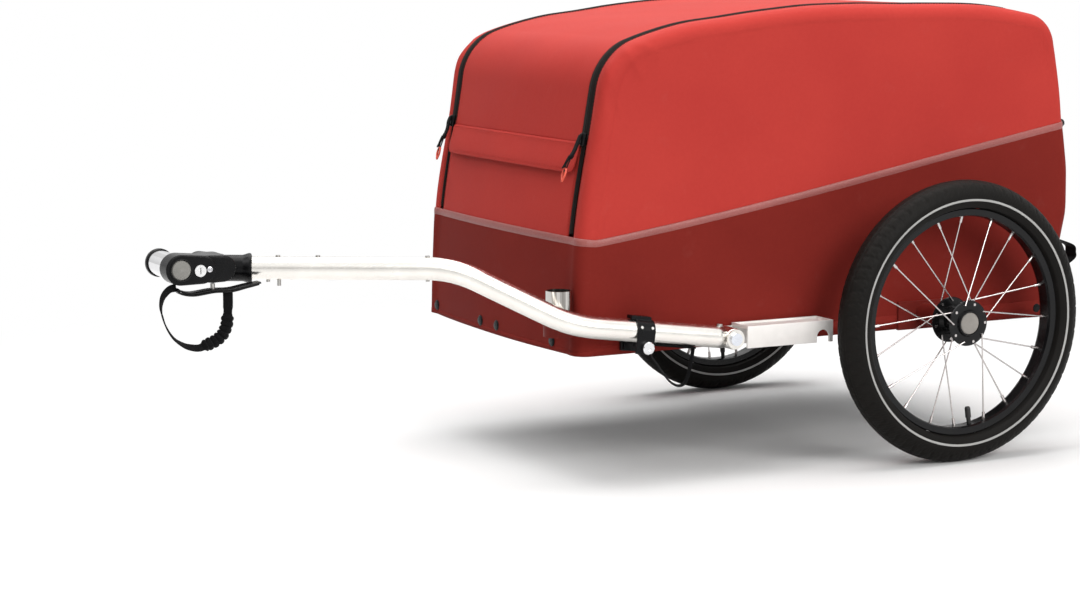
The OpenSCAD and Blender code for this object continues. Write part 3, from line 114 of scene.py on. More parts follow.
class Graph:
    """A node tree, built node by node."""

    def __init__(self, owner: bpy.types.Material | bpy.types.World) -> None:
        """Takes over the tree of a new material or world.

        Args:
            owner: the material or world.
        """
        owner.use_nodes = True
        self.owner, self.tree = owner, owner.node_tree
        self.shader = self.tree.nodes.get("Principled BSDF")

    def node(self, kind: str, inputs: dict | None = None, **settings: object) -> bpy.types.Node:
        """Adds a node.

        Args:
            kind: Blender's node type.
            inputs: values or sockets by input name or index.
            settings: properties of the node.
        Returns:
            The new node.
        """
        new = self.tree.nodes.new(kind)
        for key, value in settings.items():
            setattr(new, key, value)
        self.feed(new, inputs or {})
        return new

    def feed(self, target: bpy.types.Node, inputs: dict) -> None:
        """Sets or links inputs of a node.

        Args:
            target: the node.
            inputs: values or sockets by input name or index.
        """
        for key, value in inputs.items():
            if isinstance(value, Socket):
                self.tree.links.new(value, target.inputs[key])
            else:
                target.inputs[key].default_value = value

    def math(self, operation: str, a: Value, b: Value = 0.0, c: Value = 0.0) -> Socket:
        """Adds a Math node.

        Args:
            operation: Blender's name of the operation.
            a: its first value.
            b: its second value.
            c: its third value.
        Returns:
            The result.
        """
        return self.node("ShaderNodeMath", {0: a, 1: b, 2: c}, operation=operation).outputs[0]

    def times(self, a: Value, b: Value) -> Socket:
        """Multiplies two values."""
        return self.math("MULTIPLY", a, b)

    def fade(self, value: Value, start: float, end: float, low: float = 0.0, high: float = 1.0,
             smooth: bool = True) -> Socket:
        """Maps one range of a value to another and holds it at the ends.

        Args:
            value: the value.
            start: where the result is low.
            end: where the result is high.
            low: result at the start.
            high: result at the end.
            smooth: eases in and out, else runs straight.
        Returns:
            The result.
        """
        return self.node("ShaderNodeMapRange", {0: value, 1: start, 2: end, 3: low, 4: high},
                         interpolation_type="SMOOTHSTEP" if smooth else "LINEAR").outputs[0]

    def stretched(self, coords: Socket, scale: tuple, turn: tuple = (0.0, 0.0, 0.0)) -> Socket:
        """Stretches and turns coordinates.

        Args:
            coords: the coordinates.
            scale: factor along each axis.
            turn: rotation about each axis.
        Returns:
            The new coordinates.
        """
        return self.node("ShaderNodeMapping", {"Vector": coords, "Scale": scale, "Rotation": turn}).outputs[0]

    def ramp(self, value: Socket, stops: list) -> Socket:
        """Adds a colour ramp.

        Args:
            value: the socket that drives it.
            stops: (position, linear grey or colour) pairs.
        Returns:
            The ramp's colour output.
        """
        new = self.node("ShaderNodeValToRGB", {0: value})
        elements = new.color_ramp.elements
        while len(elements) < len(stops):
            elements.new(0.5)
        for element, (place, colour) in zip(elements, stops):
            element.position = place
            grey = isinstance(colour, (int, float))
            element.color = (colour, colour, colour, 1) if grey else (*colour, 1)
        return new.outputs[0]

    def mix(self, share: Value, a: Tint, b: Tint) -> Socket:
        """Mixes two colours.

        Args:
            share: share of the second colour.
            a: the first colour.
            b: the second colour.
        Returns:
            The mixed colour.
        """
        new = self.node("ShaderNodeMix", data_type="RGBA")
        a, b = (c if isinstance(c, Socket) else (*c, 1) for c in (a, b))
        self.feed(new, {0: share, 6: a, 7: b})
        return new.outputs[2]

    def noise(self, coords: Socket, scale: float, detail: float = 4.0, roughness: float = 0.55) -> Socket:
        """Adds a noise texture.

        Args:
            coords: where it is read.
            scale: how fine it is.
            detail: number of finer layers.
            roughness: strength of the finer layers.
        Returns:
            The noise, about 0.5.
        """
        return self.node("ShaderNodeTexNoise", {"Vector": coords, "Scale": scale, "Detail": detail,
                                                "Roughness": roughness}).outputs[0]

    def bump(self, height: Socket, distance: float, strength: float = 1.0,
             under: Socket | None = None) -> Socket:
        """Adds a bump node.

        Args:
            height: height from 0 to 1.
            distance: metres that a height of 1 stands for.
            strength: share of the effect.
            under: the bump that it lies over, if any.
        Returns:
            The bent normal.
        """
        inputs = {"Height": height, "Distance": distance, "Strength": strength}
        if under is not None:
            inputs["Normal"] = under
        return self.node("ShaderNodeBump", inputs).outputs[0]

    def seen(self) -> Socket:
        """1 for rays that the camera, metal or glass sees directly, else 0."""
        path = self.node("ShaderNodeLightPath").outputs
        return self.math("MAXIMUM", path["Is Camera Ray"],
                         self.math("MAXIMUM", path["Is Glossy Ray"], path["Is Transmission Ray"]))

    def place(self) -> Socket:
        """The point on the part at rest."""
        return self.node("ShaderNodeTexCoord").outputs["Object"]

    def cloth(self) -> Socket:
        """Metres along and across the cloth."""
        return self.node("ShaderNodeUVMap", uv_map="UVMap").outputs[0]


class Finish(ABC):
    """A surface finish; its material is made once and shared."""

    made: dict = {}
    name: str

    def material(self) -> bpy.types.Material:
        """Returns the finish's material, made on first use."""
        if self.name not in Finish.made:
            graph = Graph(bpy.data.materials.new(self.name))
            self.paint(graph)
            Finish.made[self.name] = graph.owner
        return Finish.made[self.name]

    @abstractmethod
    def paint(self, graph: Graph) -> None:
        """Builds the shader.

        Args:
            graph: the material's node tree.
        """


@dataclass(frozen=True)
class CoatedCloth(Finish):
    """Coated woven polyester: fine plain weave, soft sheen, slow shade changes and a few scuffs.

    Args:
        name: material name.
        light: linear colour of the lighter patches.
        dark: linear colour of the darker patches.
        pitch: distance between two threads.
        gloss: middle roughness.
        shine: strength of the surface reflection.
    """

    name: str
    light: tuple
    dark: tuple
    pitch: float = 0.0011
    gloss: float = 0.62
    shine: float = 0.11

    def paint(self, graph: Graph) -> None:
        """Builds weave, shade and scuffs.

        Args:
            graph: the material's node tree.
        """
        place, cloth = graph.place(), graph.cloth()
        threads = []
        for axis in ("X", "Y"):
            threads.append(graph.node("ShaderNodeTexWave", {
                "Vector": cloth, "Scale": 2 * math.pi / (WAVE * self.pitch), "Distortion": 0.6,
                "Detail": 1.0, "Detail Scale": 2.0}, bands_direction=axis).outputs[1])
        weave = graph.times(threads[0], threads[1])
        broad = graph.noise(place, 5.0, 3.0)
        fine = graph.noise(place, 180.0, 3.0)
        shade = graph.math("ADD", graph.times(broad, 0.75), graph.times(fine, 0.25))
        colour = graph.mix(graph.ramp(shade, [(0.34, 0.0), (0.66, 1.0)]), self.dark, self.light)
        threaded = graph.mix(graph.times(weave, 0.16), colour, tuple(0.55 * c for c in self.dark))
        scuff = graph.ramp(graph.noise(place, 34.0, 6.0, 0.7), [(0.60, 0.0), (0.74, 1.0)])
        worn = graph.mix(graph.times(scuff, 0.012), threaded, (0.75, 0.6, 0.55))
        rough = graph.math("MULTIPLY_ADD", broad, 0.16, self.gloss - 0.08)
        soft = graph.bump(graph.noise(place, 28.0, 3.0), 0.0016, 0.35)
        graph.feed(graph.shader, {
            "Base Color": worn, "Roughness": rough, "Specular IOR Level": self.shine,
            "Sheen Weight": 0.2 * self.shine, "Sheen Roughness": 0.45, "Sheen Tint": (1.0, 0.6, 0.52, 1.0),
            "Normal": graph.bump(weave, 0.00022, 0.5, soft)})


@dataclass(frozen=True)
class Tape(Finish):
    """Retro-reflective tape: fine glass-bead grain over a red ground.

    Args:
        name: material name.
        colour: linear colour of the tape.
        grain: linear colour of the bead grain.
    """

    name: str
    colour: tuple
    grain: tuple

    def paint(self, graph: Graph) -> None:
        """Builds the bead grain and the soft gloss.

        Args:
            graph: the material's node tree.
        """
        place = graph.place()
        beads = graph.node("ShaderNodeTexVoronoi", {"Vector": place, "Scale": 900.0}).outputs[0]
        speck = graph.ramp(beads, [(0.1, 1.0), (0.5, 0.0)])
        base = graph.mix(graph.ramp(graph.noise(place, 12.0), [(0.35, 0.0), (0.7, 1.0)]), self.colour,
                         tuple(c * 0.85 for c in self.colour))
        graph.feed(graph.shader, {
            "Base Color": graph.mix(graph.times(speck, 0.35), base, self.grain),
            "Roughness": graph.math("MULTIPLY_ADD", beads, 0.2, 0.34), "Specular IOR Level": 0.5,
            "Normal": graph.bump(beads, 0.00012, 0.4)})


@dataclass(frozen=True)
class Webbing(Finish):
    """Woven strap: cross ribs with a twill of finer threads.

    Args:
        name: material name.
        colour: linear thread colour.
        pitch: distance between two ribs.
        sheen: sheen weight.
    """

    name: str
    colour: tuple
    pitch: float = 0.0014
    sheen: float = 0.03

    def paint(self, graph: Graph) -> None:
        """Builds the ribs, the fuzz and the painted shade and highlight of the weave.

        Args:
            graph: the material's node tree.
        """
        cloth, place = graph.cloth(), graph.place()
        scale = 2 * math.pi / (WAVE * self.pitch)
        ribs = graph.node("ShaderNodeTexWave", {"Vector": cloth, "Scale": scale, "Distortion": 0.4,
                                                "Detail": 1.0}, bands_direction="X").outputs[1]
        twill = graph.node("ShaderNodeTexWave", {"Vector": cloth, "Scale": scale / 0.7, "Distortion": 0.5},
                           bands_direction="DIAGONAL").outputs[1]
        height = graph.math("MULTIPLY_ADD", twill, 0.5, ribs)
        fuzz = graph.noise(place, 420.0, 3.0)
        # painted shade and highlight: the weave's low parts are darker, its raised ribs lighter
        tint = graph.mix(graph.ramp(height, [(0.2, 0.0), (1.2, 1.0)]), tuple(c * 0.45 for c in self.colour),
                         tuple(min(1.0, c * 1.7) for c in self.colour))
        graph.feed(graph.shader, {
            "Base Color": tint, "Roughness": graph.math("MULTIPLY_ADD", fuzz, 0.2, 0.66),
            "Specular IOR Level": 0.08, "Sheen Weight": self.sheen, "Sheen Roughness": 0.5,
            "Normal": graph.bump(height, 0.00035, 0.7, graph.bump(fuzz, 0.0002, 0.3))})


@dataclass(frozen=True)
class Metal(Finish):
    """Bare or plated metal: drawn streaks, fine scratches and cloudy handling marks.

    Args:
        name: material name.
        colour: linear reflection colour.
        rough: middle roughness.
        streak: (x, y, z) stretch of the drawn streaks; small along the drawing direction.
        bands: how much darker the dark streaks are.
        metallic: share of metal reflection; below 1 for a milky clear coat.
        coat: weight of the clear coat.
        marks: how strongly scratches show.
    """

    name: str
    colour: tuple
    rough: float = 0.25
    streak: tuple = (60.0, 900.0, 900.0)
    metallic: float = 1.0
    coat: float = 0.0
    marks: float = 1.0
    bands: float = 0.0

    def paint(self, graph: Graph) -> None:
        """Builds streaks, scratches and clouds.

        Args:
            graph: the material's node tree.
        """
        place = graph.place()
        drawn = graph.noise(graph.stretched(place, self.streak), 1.0, 3.0)
        cloud = graph.noise(place, 38.0, 5.0, 0.6)
        slanted = graph.stretched(place, (70.0, 260.0, 260.0), (0.2, 0.5, 0.3))
        scratch = graph.node("ShaderNodeTexVoronoi", {"Vector": slanted, "Scale": 1.0},
                             feature="DISTANCE_TO_EDGE").outputs[0]
        line = graph.ramp(scratch, [(0.0, 1.0), (0.018, 0.0)])
        rough = graph.math("MULTIPLY_ADD", drawn, 0.56 * self.rough, 0.72 * self.rough)
        rough = graph.math("MULTIPLY_ADD", graph.times(cloud, line), 0.25 * self.marks, rough)
        rough = graph.math("MULTIPLY_ADD", cloud, 0.10 * self.marks, rough)
        tint = graph.mix(graph.ramp(cloud, [(0.38, 0.0), (0.68, 1.0)]), tuple(c * 0.93 for c in self.colour),
                         self.colour)
        if self.bands:
            dark = graph.times(graph.ramp(drawn, [(0.44, 1.0), (0.56, 0.0)]), self.bands)
            tint = graph.mix(dark, tint, tuple(c * c * 0.45 for c in self.colour))
        graph.feed(graph.shader, {
            "Base Color": tint, "Metallic": self.metallic, "Roughness": rough,
            "Coat Weight": self.coat, "Coat Roughness": 0.12,
            "Normal": graph.bump(drawn, 0.00004, 0.5, graph.bump(line, 0.00003, 0.4))})


@dataclass(frozen=True)
class Moulding(Finish):
    """Moulded plastic or powder coat: fine spark-eroded grain, paler dust in cloudy patches, and a painted
    highlight on convex edges.

    Args:
        name: material name.
        colour: linear colour.
        rough: middle roughness.
        grain: scale of the grain.
        depth: depth of the grain.
        edge: strength of the painted highlight on convex edges.
        shine: strength of the surface reflection.
    """

    name: str
    colour: tuple
    rough: float = 0.45
    grain: float = 1400.0
    depth: float = 0.00008
    edge: float = 0.35
    shine: float = 0.45

    def paint(self, graph: Graph) -> None:
        """Builds grain, dust and the painted highlight on convex edges.

        Args:
            graph: the material's node tree.
        """
        place = graph.place()
        grain = graph.noise(place, self.grain, 2.0)
        cloud = graph.noise(place, 45.0, 5.0, 0.65)
        # painted highlight: convex edges, found by their pointiness, are made paler
        bent = graph.node("ShaderNodeNewGeometry").outputs["Pointiness"]
        edge_highlight = graph.times(graph.ramp(bent, [(0.53, 0.0), (0.62, 1.0)]), self.edge)
        highlight_tint = tuple(min(1.0, 0.02 + 1.6 * c) for c in self.colour)
        tint = graph.mix(graph.ramp(cloud, [(0.35, 0.0), (0.75, 1.0)]), self.colour,
                         tuple(min(1.0, c * 1.25 + 0.001) for c in self.colour))
        graph.feed(graph.shader, {
            "Base Color": graph.mix(edge_highlight, tint, highlight_tint),
            "Roughness": graph.math("MULTIPLY_ADD", cloud, 0.2, self.rough - 0.1),
            "Specular IOR Level": self.shine, "Normal": graph.bump(grain, self.depth, 0.6)})


@dataclass(frozen=True)
class TyreRubber(Finish):
    """Tyre rubber: matt side wall with circular mould lines, fine file cuts and road dust on the tread.

    Args:
        name: material name.
        colour: linear colour.
        dust: linear colour of the dust.
        hub: the wheel's centre in x and z.
        tread_r: radius from which dust sits.
        cuts: file cuts round the tyre.
    """

    name: str
    colour: tuple
    dust: tuple
    hub: tuple
    tread_r: float = 0.186
    cuts: int = 260

    def paint(self, graph: Graph) -> None:
        """Builds mould lines, cuts and dust by radius and angle.

        Args:
            graph: the material's node tree.
        """
        place = graph.place()
        split = graph.node("ShaderNodeSeparateXYZ", {0: place}).outputs
        x = graph.math("SUBTRACT", split[0], self.hub[0])
        z = graph.math("SUBTRACT", split[2], self.hub[1])
        radius = graph.math("SQRT", graph.math("MULTIPLY_ADD", x, x, graph.times(z, z)))
        angle = graph.math("ARCTAN2", z, x)
        slant = graph.math("MULTIPLY_ADD", radius, 900.0, graph.times(angle, self.cuts))
        cut = graph.math("SINE", slant)
        wall = graph.ramp(graph.times(radius, 5.0), [(0.86, 0.0), (0.885, 1.0), (0.96, 1.0)])
        cut = graph.times(graph.math("GREATER_THAN", cut, 0.55), wall)
        rings = graph.math("SINE", graph.times(radius, 5200.0))
        dusty = graph.noise(place, 60.0, 6.0, 0.7)
        outer = graph.ramp(graph.times(radius, 5.0),
                           [(self.tread_r * 5 - 0.02, 0.0), (self.tread_r * 5 + 0.05, 1.0)])
        share = graph.times(graph.math("MULTIPLY_ADD", outer, 0.3, 0.16), dusty)
        graph.feed(graph.shader, {
            "Base Color": graph.mix(share, self.colour, self.dust),
            "Roughness": graph.math("MULTIPLY_ADD", dusty, 0.22, 0.42), "Specular IOR Level": 0.1,
            "Normal": graph.bump(cut, 0.0005, 0.5, graph.bump(rings, 0.00008, 0.25, graph.bump(
                graph.noise(place, 900.0, 2.0), 0.0001, 0.4)))})


@dataclass(frozen=True)
class StudioFloor(Finish):
    """White studio paper: lit paper near the trailer, plain white to the camera and in metal away from it.

    Args:
        name: material name.
        colour: linear colour.
        near: distance up to which the paper is lit only by the lamps.
        far: distance from which it is plain white.
    """

    name: str
    colour: tuple
    near: float
    far: float

    def paint(self, graph: Graph) -> None:
        """Builds the matt paper.

        Args:
            graph: the material's node tree.
        """
        place = graph.place()
        gap = graph.node("ShaderNodeVectorMath", {0: place}, operation="LENGTH").outputs["Value"]
        away = graph.fade(gap, self.near, self.far)
        graph.feed(graph.shader, {
            "Base Color": graph.mix(graph.seen(), tuple(0.6 * c for c in self.colour), self.colour),
            "Roughness": 0.95, "Specular IOR Level": 0.0,
            "Normal": graph.bump(graph.noise(place, 300.0, 3.0), 0.0001, 0.1)})
        white = graph.node("ShaderNodeEmission", {0: (1.0, 1.0, 1.0, 1.0), 1: 1.0})
        both = graph.node("ShaderNodeMixShader", {0: graph.times(away, graph.seen()),
                                                  1: graph.shader.outputs[0], 2: white.outputs[0]})
        graph.feed(graph.tree.nodes["Material Output"], {0: both.outputs[0]})


RED = CoatedCloth("cloth_red", (0.52, 0.046, 0.036), (0.47, 0.037, 0.030))
DARK_RED = CoatedCloth("cloth_dark_red", (0.225, 0.0225, 0.0165), (0.19, 0.0175, 0.013), shine=0.05)
BAND = Tape("tape_band", (0.33, 0.085, 0.075), (0.50, 0.30, 0.28))
STITCH_RED = Webbing("thread_red", (0.42, 0.05, 0.04), 0.0006)
STITCH_DARK = Webbing("thread_dark", (0.12, 0.015, 0.013), 0.0006)
ZIP = Webbing("zip_tape", (0.012, 0.009, 0.008), 0.0012, 0.02)
STRAP = Webbing("strap_black", (0.0055, 0.0055, 0.006))
TONGUE = Moulding("tongue_black", (0.004, 0.004, 0.0045), 0.35, 700.0, 0.0002, 0.35, 0.14)
CORD = Webbing("pull_cord", (0.008, 0.008, 0.008), 0.0016)
TIP = Moulding("pull_tip", (0.72, 0.10, 0.06), 0.4)
DRAWBAR_METAL = Metal("drawbar_metal", (0.87, 0.845, 0.80), 0.22, (8.0, 900.0, 900.0), 1.0, 0.0, 0.4)
FRAME_METAL = Metal("frame_metal", (0.78, 0.79, 0.80), 0.34, (40.0, 700.0, 700.0), 1.0)
BRACKET_METAL = Metal("bracket_metal", (0.83, 0.805, 0.78), 0.5, (20.0, 900.0, 900.0), 0.35, 0.0, 0.6)
SOCKET = Metal("socket_steel", (0.66, 0.64, 0.61), 0.16, (150.0, 150.0, 4.0), 1.0, 0.0, 0.5, 0.75)
FASTENER = Metal("fastener_steel", (0.50, 0.49, 0.47), 0.3, (300.0, 300.0, 300.0), 1.0)
CHROME = Metal("chrome", (0.86, 0.86, 0.87), 0.06, (300.0, 300.0, 60.0), 1.0, 0.0, 0.35)
STEEL = Metal("steel", (0.62, 0.62, 0.64), 0.22, (300.0, 300.0, 300.0), 1.0)
SPOKE = Metal("spoke_steel", (0.66, 0.62, 0.61), 0.2, (200.0, 200.0, 200.0), 1.0)
BOLT = Metal("bolt_steel", (0.80, 0.83, 0.90), 0.2, (300.0, 300.0, 300.0), 1.0)
BLACK = Moulding("black_moulding", (0.0035, 0.0035, 0.004), 0.27, 1400.0, 0.00005, 0.35, 0.15)
BLACK_ALLOY = Moulding("black_alloy", (0.004, 0.004, 0.0045), 0.2, 2400.0, 0.00003, 0.2, 0.25)
RED_COAT = Moulding("dark_red_coat", (0.15, 0.016, 0.012), 0.5, 1400.0, 0.00005, 0.2, 0.1)
GREY_CAP = Moulding("grey_cap", (0.22, 0.215, 0.20), 0.42, 1800.0, 0.00004, 0.2)
HUB_CAP = Moulding("hub_cap", (0.26, 0.245, 0.225), 0.38, 1800.0, 0.00004, 0.2)
FLOOR_BOARD = Moulding("floor_board", (0.02, 0.02, 0.021), 0.6, 500.0, 0.0003)
VALVE = Moulding("valve_rubber", (0.012, 0.012, 0.012), 0.5)
REFLEX = Tape("reflex_line", (0.42, 0.42, 0.41), (0.6, 0.6, 0.58))


# ---------------------------------------------------------------- mesh making


def make_mesh(name: str, points: np.ndarray, faces: list, finish: Finish, uv: np.ndarray | None = None,
              smooth: bool = True) -> bpy.types.Object:
    """Makes a mesh object.

    Args:
        name: object name.
        points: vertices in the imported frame.
        faces: vertex indices of each face.
        finish: the finish it gets.
        uv: metres along and across the cloth at each vertex, or None.
        smooth: whether faces shade smoothly.
    Returns:
        The new object.
    """
    mesh = bpy.data.meshes.new(name)
    mesh.from_pydata([tuple(p) for p in np.asarray(points, float).reshape(-1, 3)], [], faces)
    mesh.validate()
    layer = mesh.uv_layers.new(name="UVMap")
    if uv is not None:
        corners = np.zeros(len(mesh.loops), np.int32)
        mesh.loops.foreach_get("vertex_index", corners)
        layer.data.foreach_set("uv", np.asarray(uv, np.float32).reshape(-1, 2)[corners].ravel())
    if smooth:
        mesh.shade_smooth()
    mesh.materials.append(finish.material())
    thing = bpy.data.objects.new(name, mesh)
    bpy.context.scene.collection.objects.link(thing)
    return thing


def grid_faces(rows: int, columns: int, wrap_rows: bool = False, wrap_columns: bool = False) -> list:
    """Quads of a grid of vertices stored row by row.

    Args:
        rows: number of rows.
        columns: number of columns.
        wrap_rows: whether the last row joins the first.
        wrap_columns: whether the last column joins the first.
    Returns:
        The faces.
    """
    faces = []
    for i in range(rows if wrap_rows else rows - 1):
        for j in range(columns if wrap_columns else columns - 1):
            a, b = i * columns + j, i * columns + (j + 1) % columns
            c, d = (i + 1) % rows * columns + j, (i + 1) % rows * columns + (j + 1) % columns
            faces.append((a, b, d, c))
    return faces


def resample(path: np.ndarray, step: float) -> np.ndarray:
    """Lays a smooth curve through points and cuts it into even steps.

    Args:
        path: points on the way.
        step: wanted distance between two new points.
    Returns:
        The new points.
    """
    path = np.asarray(path, float)
    full = np.vstack([2 * path[0] - path[1], path, 2 * path[-1] - path[-2]])
    dense = []
    for i in range(1, len(full) - 2):
        t = np.linspace(0, 1, 24, endpoint=False)[:, None]
        p0, p1, p2, p3 = full[i - 1], full[i], full[i + 1], full[i + 2]
        dense.append(0.5 * (2 * p1 + (p2 - p0) * t + (2 * p0 - 5 * p1 + 4 * p2 - p3) * t**2
                            + (3 * p1 - p0 - 3 * p2 + p3) * t**3))
    dense = np.vstack(dense + [path[-1:]])
    run = distances(dense)
    marks = np.linspace(0, run[-1], max(2, int(round(run[-1] / step)) + 1))
    return np.stack([np.interp(marks, run, dense[:, k]) for k in range(3)], axis=1)


def tangents(path: np.ndarray) -> np.ndarray:
    """Unit directions along a path."""
    return unit(np.gradient(np.asarray(path, float), axis=0))


def sweep(name: str, path: np.ndarray, across: np.ndarray, section: np.ndarray, finish: Finish,
          swell: np.ndarray | None = None, closed: bool = False) -> bpy.types.Object:
    """Sweeps a closed section along a path.

    Args:
        name: object name.
        path: points of the path.
        across: direction of the section's first axis, one or one per point.
        section: points of the section, anticlockwise.
        finish: the finish.
        swell: scale of the section's two axes at each point, or None.
        closed: whether the path closes on itself.
    Returns:
        The new object.
    """
    path = np.asarray(path, float)
    along = tangents(path)
    if closed:
        along = unit(np.roll(path, -1, axis=0) - np.roll(path, 1, axis=0))
    across = np.broadcast_to(np.asarray(across, float), path.shape)
    u = unit(across - (across * along).sum(1, keepdims=True) * along)
    v = np.cross(along, u)
    section = np.asarray(section, float)
    scale = np.ones((len(path), 2)) if swell is None else np.asarray(swell, float)
    rings = (path[:, None] + u[:, None] * (section[None, :, 0] * scale[:, :1])[..., None]
             + v[:, None] * (section[None, :, 1] * scale[:, 1:])[..., None])
    n, m = rings.shape[:2]
    faces = [tuple(reversed(f)) for f in grid_faces(n, m, closed, True)]
    if not closed:
        faces += [tuple(range(m)), tuple(reversed(range((n - 1) * m, n * m)))]
    uv = np.stack(np.broadcast_arrays(distances(path)[:, None], distances(section)[None]), axis=2)
    thing = make_mesh(name, rings, faces, finish, uv)
    fix_normals(thing)
    return thing


def fix_normals(thing: bpy.types.Object, weld: float = 0.0) -> None:
    """Turns the faces of a closed mesh outward.

    Args:
        thing: the object.
        weld: vertices nearer than this are joined first.
    """
    work = bmesh.new()
    work.from_mesh(thing.data)
    if weld:
        bmesh.ops.remove_doubles(work, verts=work.verts, dist=weld)
    bmesh.ops.recalc_face_normals(work, faces=work.faces)
    work.to_mesh(thing.data)
    work.free()


def twisted(path: np.ndarray, shares: list, degrees: list) -> np.ndarray:
    """Turns the width of a strap about its path.

    Args:
        path: points of the path.
        shares: shares of the way where the turn is given.
        degrees: the turn away from +Y there.
    Returns:
        Direction of the width at each point.
    """
    turn = np.interp(np.linspace(0, 1, len(path)), shares, np.radians(degrees))[:, None]
    return ACROSS * np.cos(turn) + np.cross(tangents(path), ACROSS) * np.sin(turn)


def round_section(radius: float, sides: int = 24) -> np.ndarray:
    """A circle as a section."""
    a = np.linspace(0, 2 * np.pi, sides, endpoint=False)
    return radius * np.stack([np.cos(a), np.sin(a)], axis=1)


def flat_section(width: float, thick: float) -> np.ndarray:
    """A flat strap's section with rounded edges.

    Args:
        width: width of the strap.
        thick: its thickness.
    Returns:
        Points of the section, anticlockwise.
    """
    w, t = width / 2, thick / 2
    r = min(t, w) * 0.98
    points = []
    for cx, cy, start in ((w - r, t - r, 0), (-w + r, t - r, 90), (-w + r, -t + r, 180),
                          (w - r, -t + r, 270)):
        for a in np.radians([start + 8, start + 45, start + 82]):
            points.append((cx + r * math.cos(a), cy + r * math.sin(a)))
    mid = [(x, t) for x in np.linspace(w - r, -w + r, 5)[1:-1]]
    low = [(x, -t) for x in np.linspace(-w + r, w - r, 5)[1:-1]]
    return np.array(points[:3] + mid + points[3:9] + low + points[9:])


def lathe(name: str, profile: np.ndarray, centre: np.ndarray, axis: np.ndarray, finish: Finish,
          sides: int = 64) -> bpy.types.Object:
    """Turns a profile of (radius, distance) pairs about an axis.

    Args:
        name: object name.
        profile: radius and distance along the axis of each point.
        centre: the point at distance 0.
        axis: direction of the axis.
        finish: the finish.
        sides: number of steps round.
    Returns:
        The new object.
    """
    axis = unit(np.asarray(axis, float))
    helper = np.array([1.0, 0, 0]) if abs(axis[0]) < 0.9 else np.array([0, 1.0, 0])
    u = unit(np.cross(axis, helper))
    v = np.cross(axis, u)
    profile = np.asarray(profile, float)
    a = np.linspace(0, 2 * np.pi, sides, endpoint=False)
    wheel = np.cos(a)[:, None] * u + np.sin(a)[:, None] * v
    points = centre + wheel[:, None] * profile[None, :, :1] + axis * profile[None, :, 1:]
    faces = grid_faces(sides, len(profile), True)
    thing = make_mesh(name, points, faces, finish)
    fix_normals(thing, WELD)
    sharpen(thing)
    return thing


def sharpen(thing: bpy.types.Object, degrees: float = 40.0) -> None:
    """Keeps creases over an angle crisp while the rest shades smoothly.

    Args:
        thing: the object.
        degrees: the smallest crease that stays crisp.
    """
    thing.data.shade_smooth()
    thing.data.set_sharp_from_angle(angle=math.radians(degrees))


def bake(thing: bpy.types.Object) -> bpy.types.Object:
    """Applies all modifiers of an object.

    Args:
        thing: the object.
    Returns:
        The same object.
    """
    bpy.context.view_layer.update()
    evaluated = thing.evaluated_get(bpy.context.evaluated_depsgraph_get())
    mesh = bpy.data.meshes.new_from_object(evaluated)
    thing.modifiers.clear()
    thing.data = mesh
    return thing


def packed_copy(name: str, node: str) -> bpy.types.Object:
    """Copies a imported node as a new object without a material.

    Args:
        name: object name.
        node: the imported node.
    Returns:
        The new object.
    """
    thing = bpy.data.objects.new(name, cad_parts[node].data.copy())
    bpy.context.scene.collection.objects.link(thing)
    thing.data.materials.clear()
    return thing


def softened(name: str, node: str, voxel: float, rounds: int, finish: Finish) -> bpy.types.Object:
    """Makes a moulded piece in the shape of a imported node, with its edges rounded.

    Args:
        name: object name.
        node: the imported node.
        voxel: size of the remesh cells.
        rounds: smoothing rounds.
        finish: the finish.
    Returns:
        The new object.
    """
    thing = packed_copy(name, node)
    remesh = thing.modifiers.new("cells", "REMESH")
    remesh.mode, remesh.voxel_size = "VOXEL", voxel
    smooth = thing.modifiers.new("round", "SMOOTH")
    smooth.factor, smooth.iterations = 0.5, rounds
    bake(thing)
    thing.data.materials.append(finish.material())
    thing.data.shade_smooth()
    return thing


def bevelled(name: str, node: str, width: float, finish: Finish, segments: int = 3) -> bpy.types.Object:
    """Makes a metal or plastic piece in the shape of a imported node, with small bevels along its edges.

    Args:
        name: object name.
        node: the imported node.
        width: bevel width.
        finish: the finish.
        segments: steps across the bevel.
    Returns:
        The new object.
    """
    thing = packed_copy(name, node)
    work = bmesh.new()
    work.from_mesh(thing.data)
    bmesh.ops.remove_doubles(work, verts=work.verts, dist=WELD)
    bmesh.ops.dissolve_limit(work, angle_limit=math.radians(1.0), verts=work.verts, edges=work.edges)
    work.to_mesh(thing.data)
    work.free()
    thing.data.materials.append(finish.material())
    bevel = thing.modifiers.new("edge", "BEVEL")
    bevel.width, bevel.segments, bevel.limit_method = width, segments, "ANGLE"
    bevel.angle_limit = math.radians(35)
    bevel.use_clamp_overlap = True
    bake(thing)
    sharpen(thing, 30)
    return thing


def settle(thing: bpy.types.Object, body: str, slot: str, *nodes: str) -> bpy.types.Object:
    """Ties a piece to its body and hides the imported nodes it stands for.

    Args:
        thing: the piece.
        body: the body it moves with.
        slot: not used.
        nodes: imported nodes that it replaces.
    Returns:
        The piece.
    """
    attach(thing, body)
    if nodes:
        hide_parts(*nodes)
    return thing


def dress(finish: Finish, *nodes: str) -> None:
    """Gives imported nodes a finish.

    Args:
        finish: the finish.
        nodes: names of the nodes.
    """
    for node in nodes:
        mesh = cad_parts[node].data
        mesh.materials.clear()
        mesh.materials.append(finish.material())
        sharpen(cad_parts[node], 32)


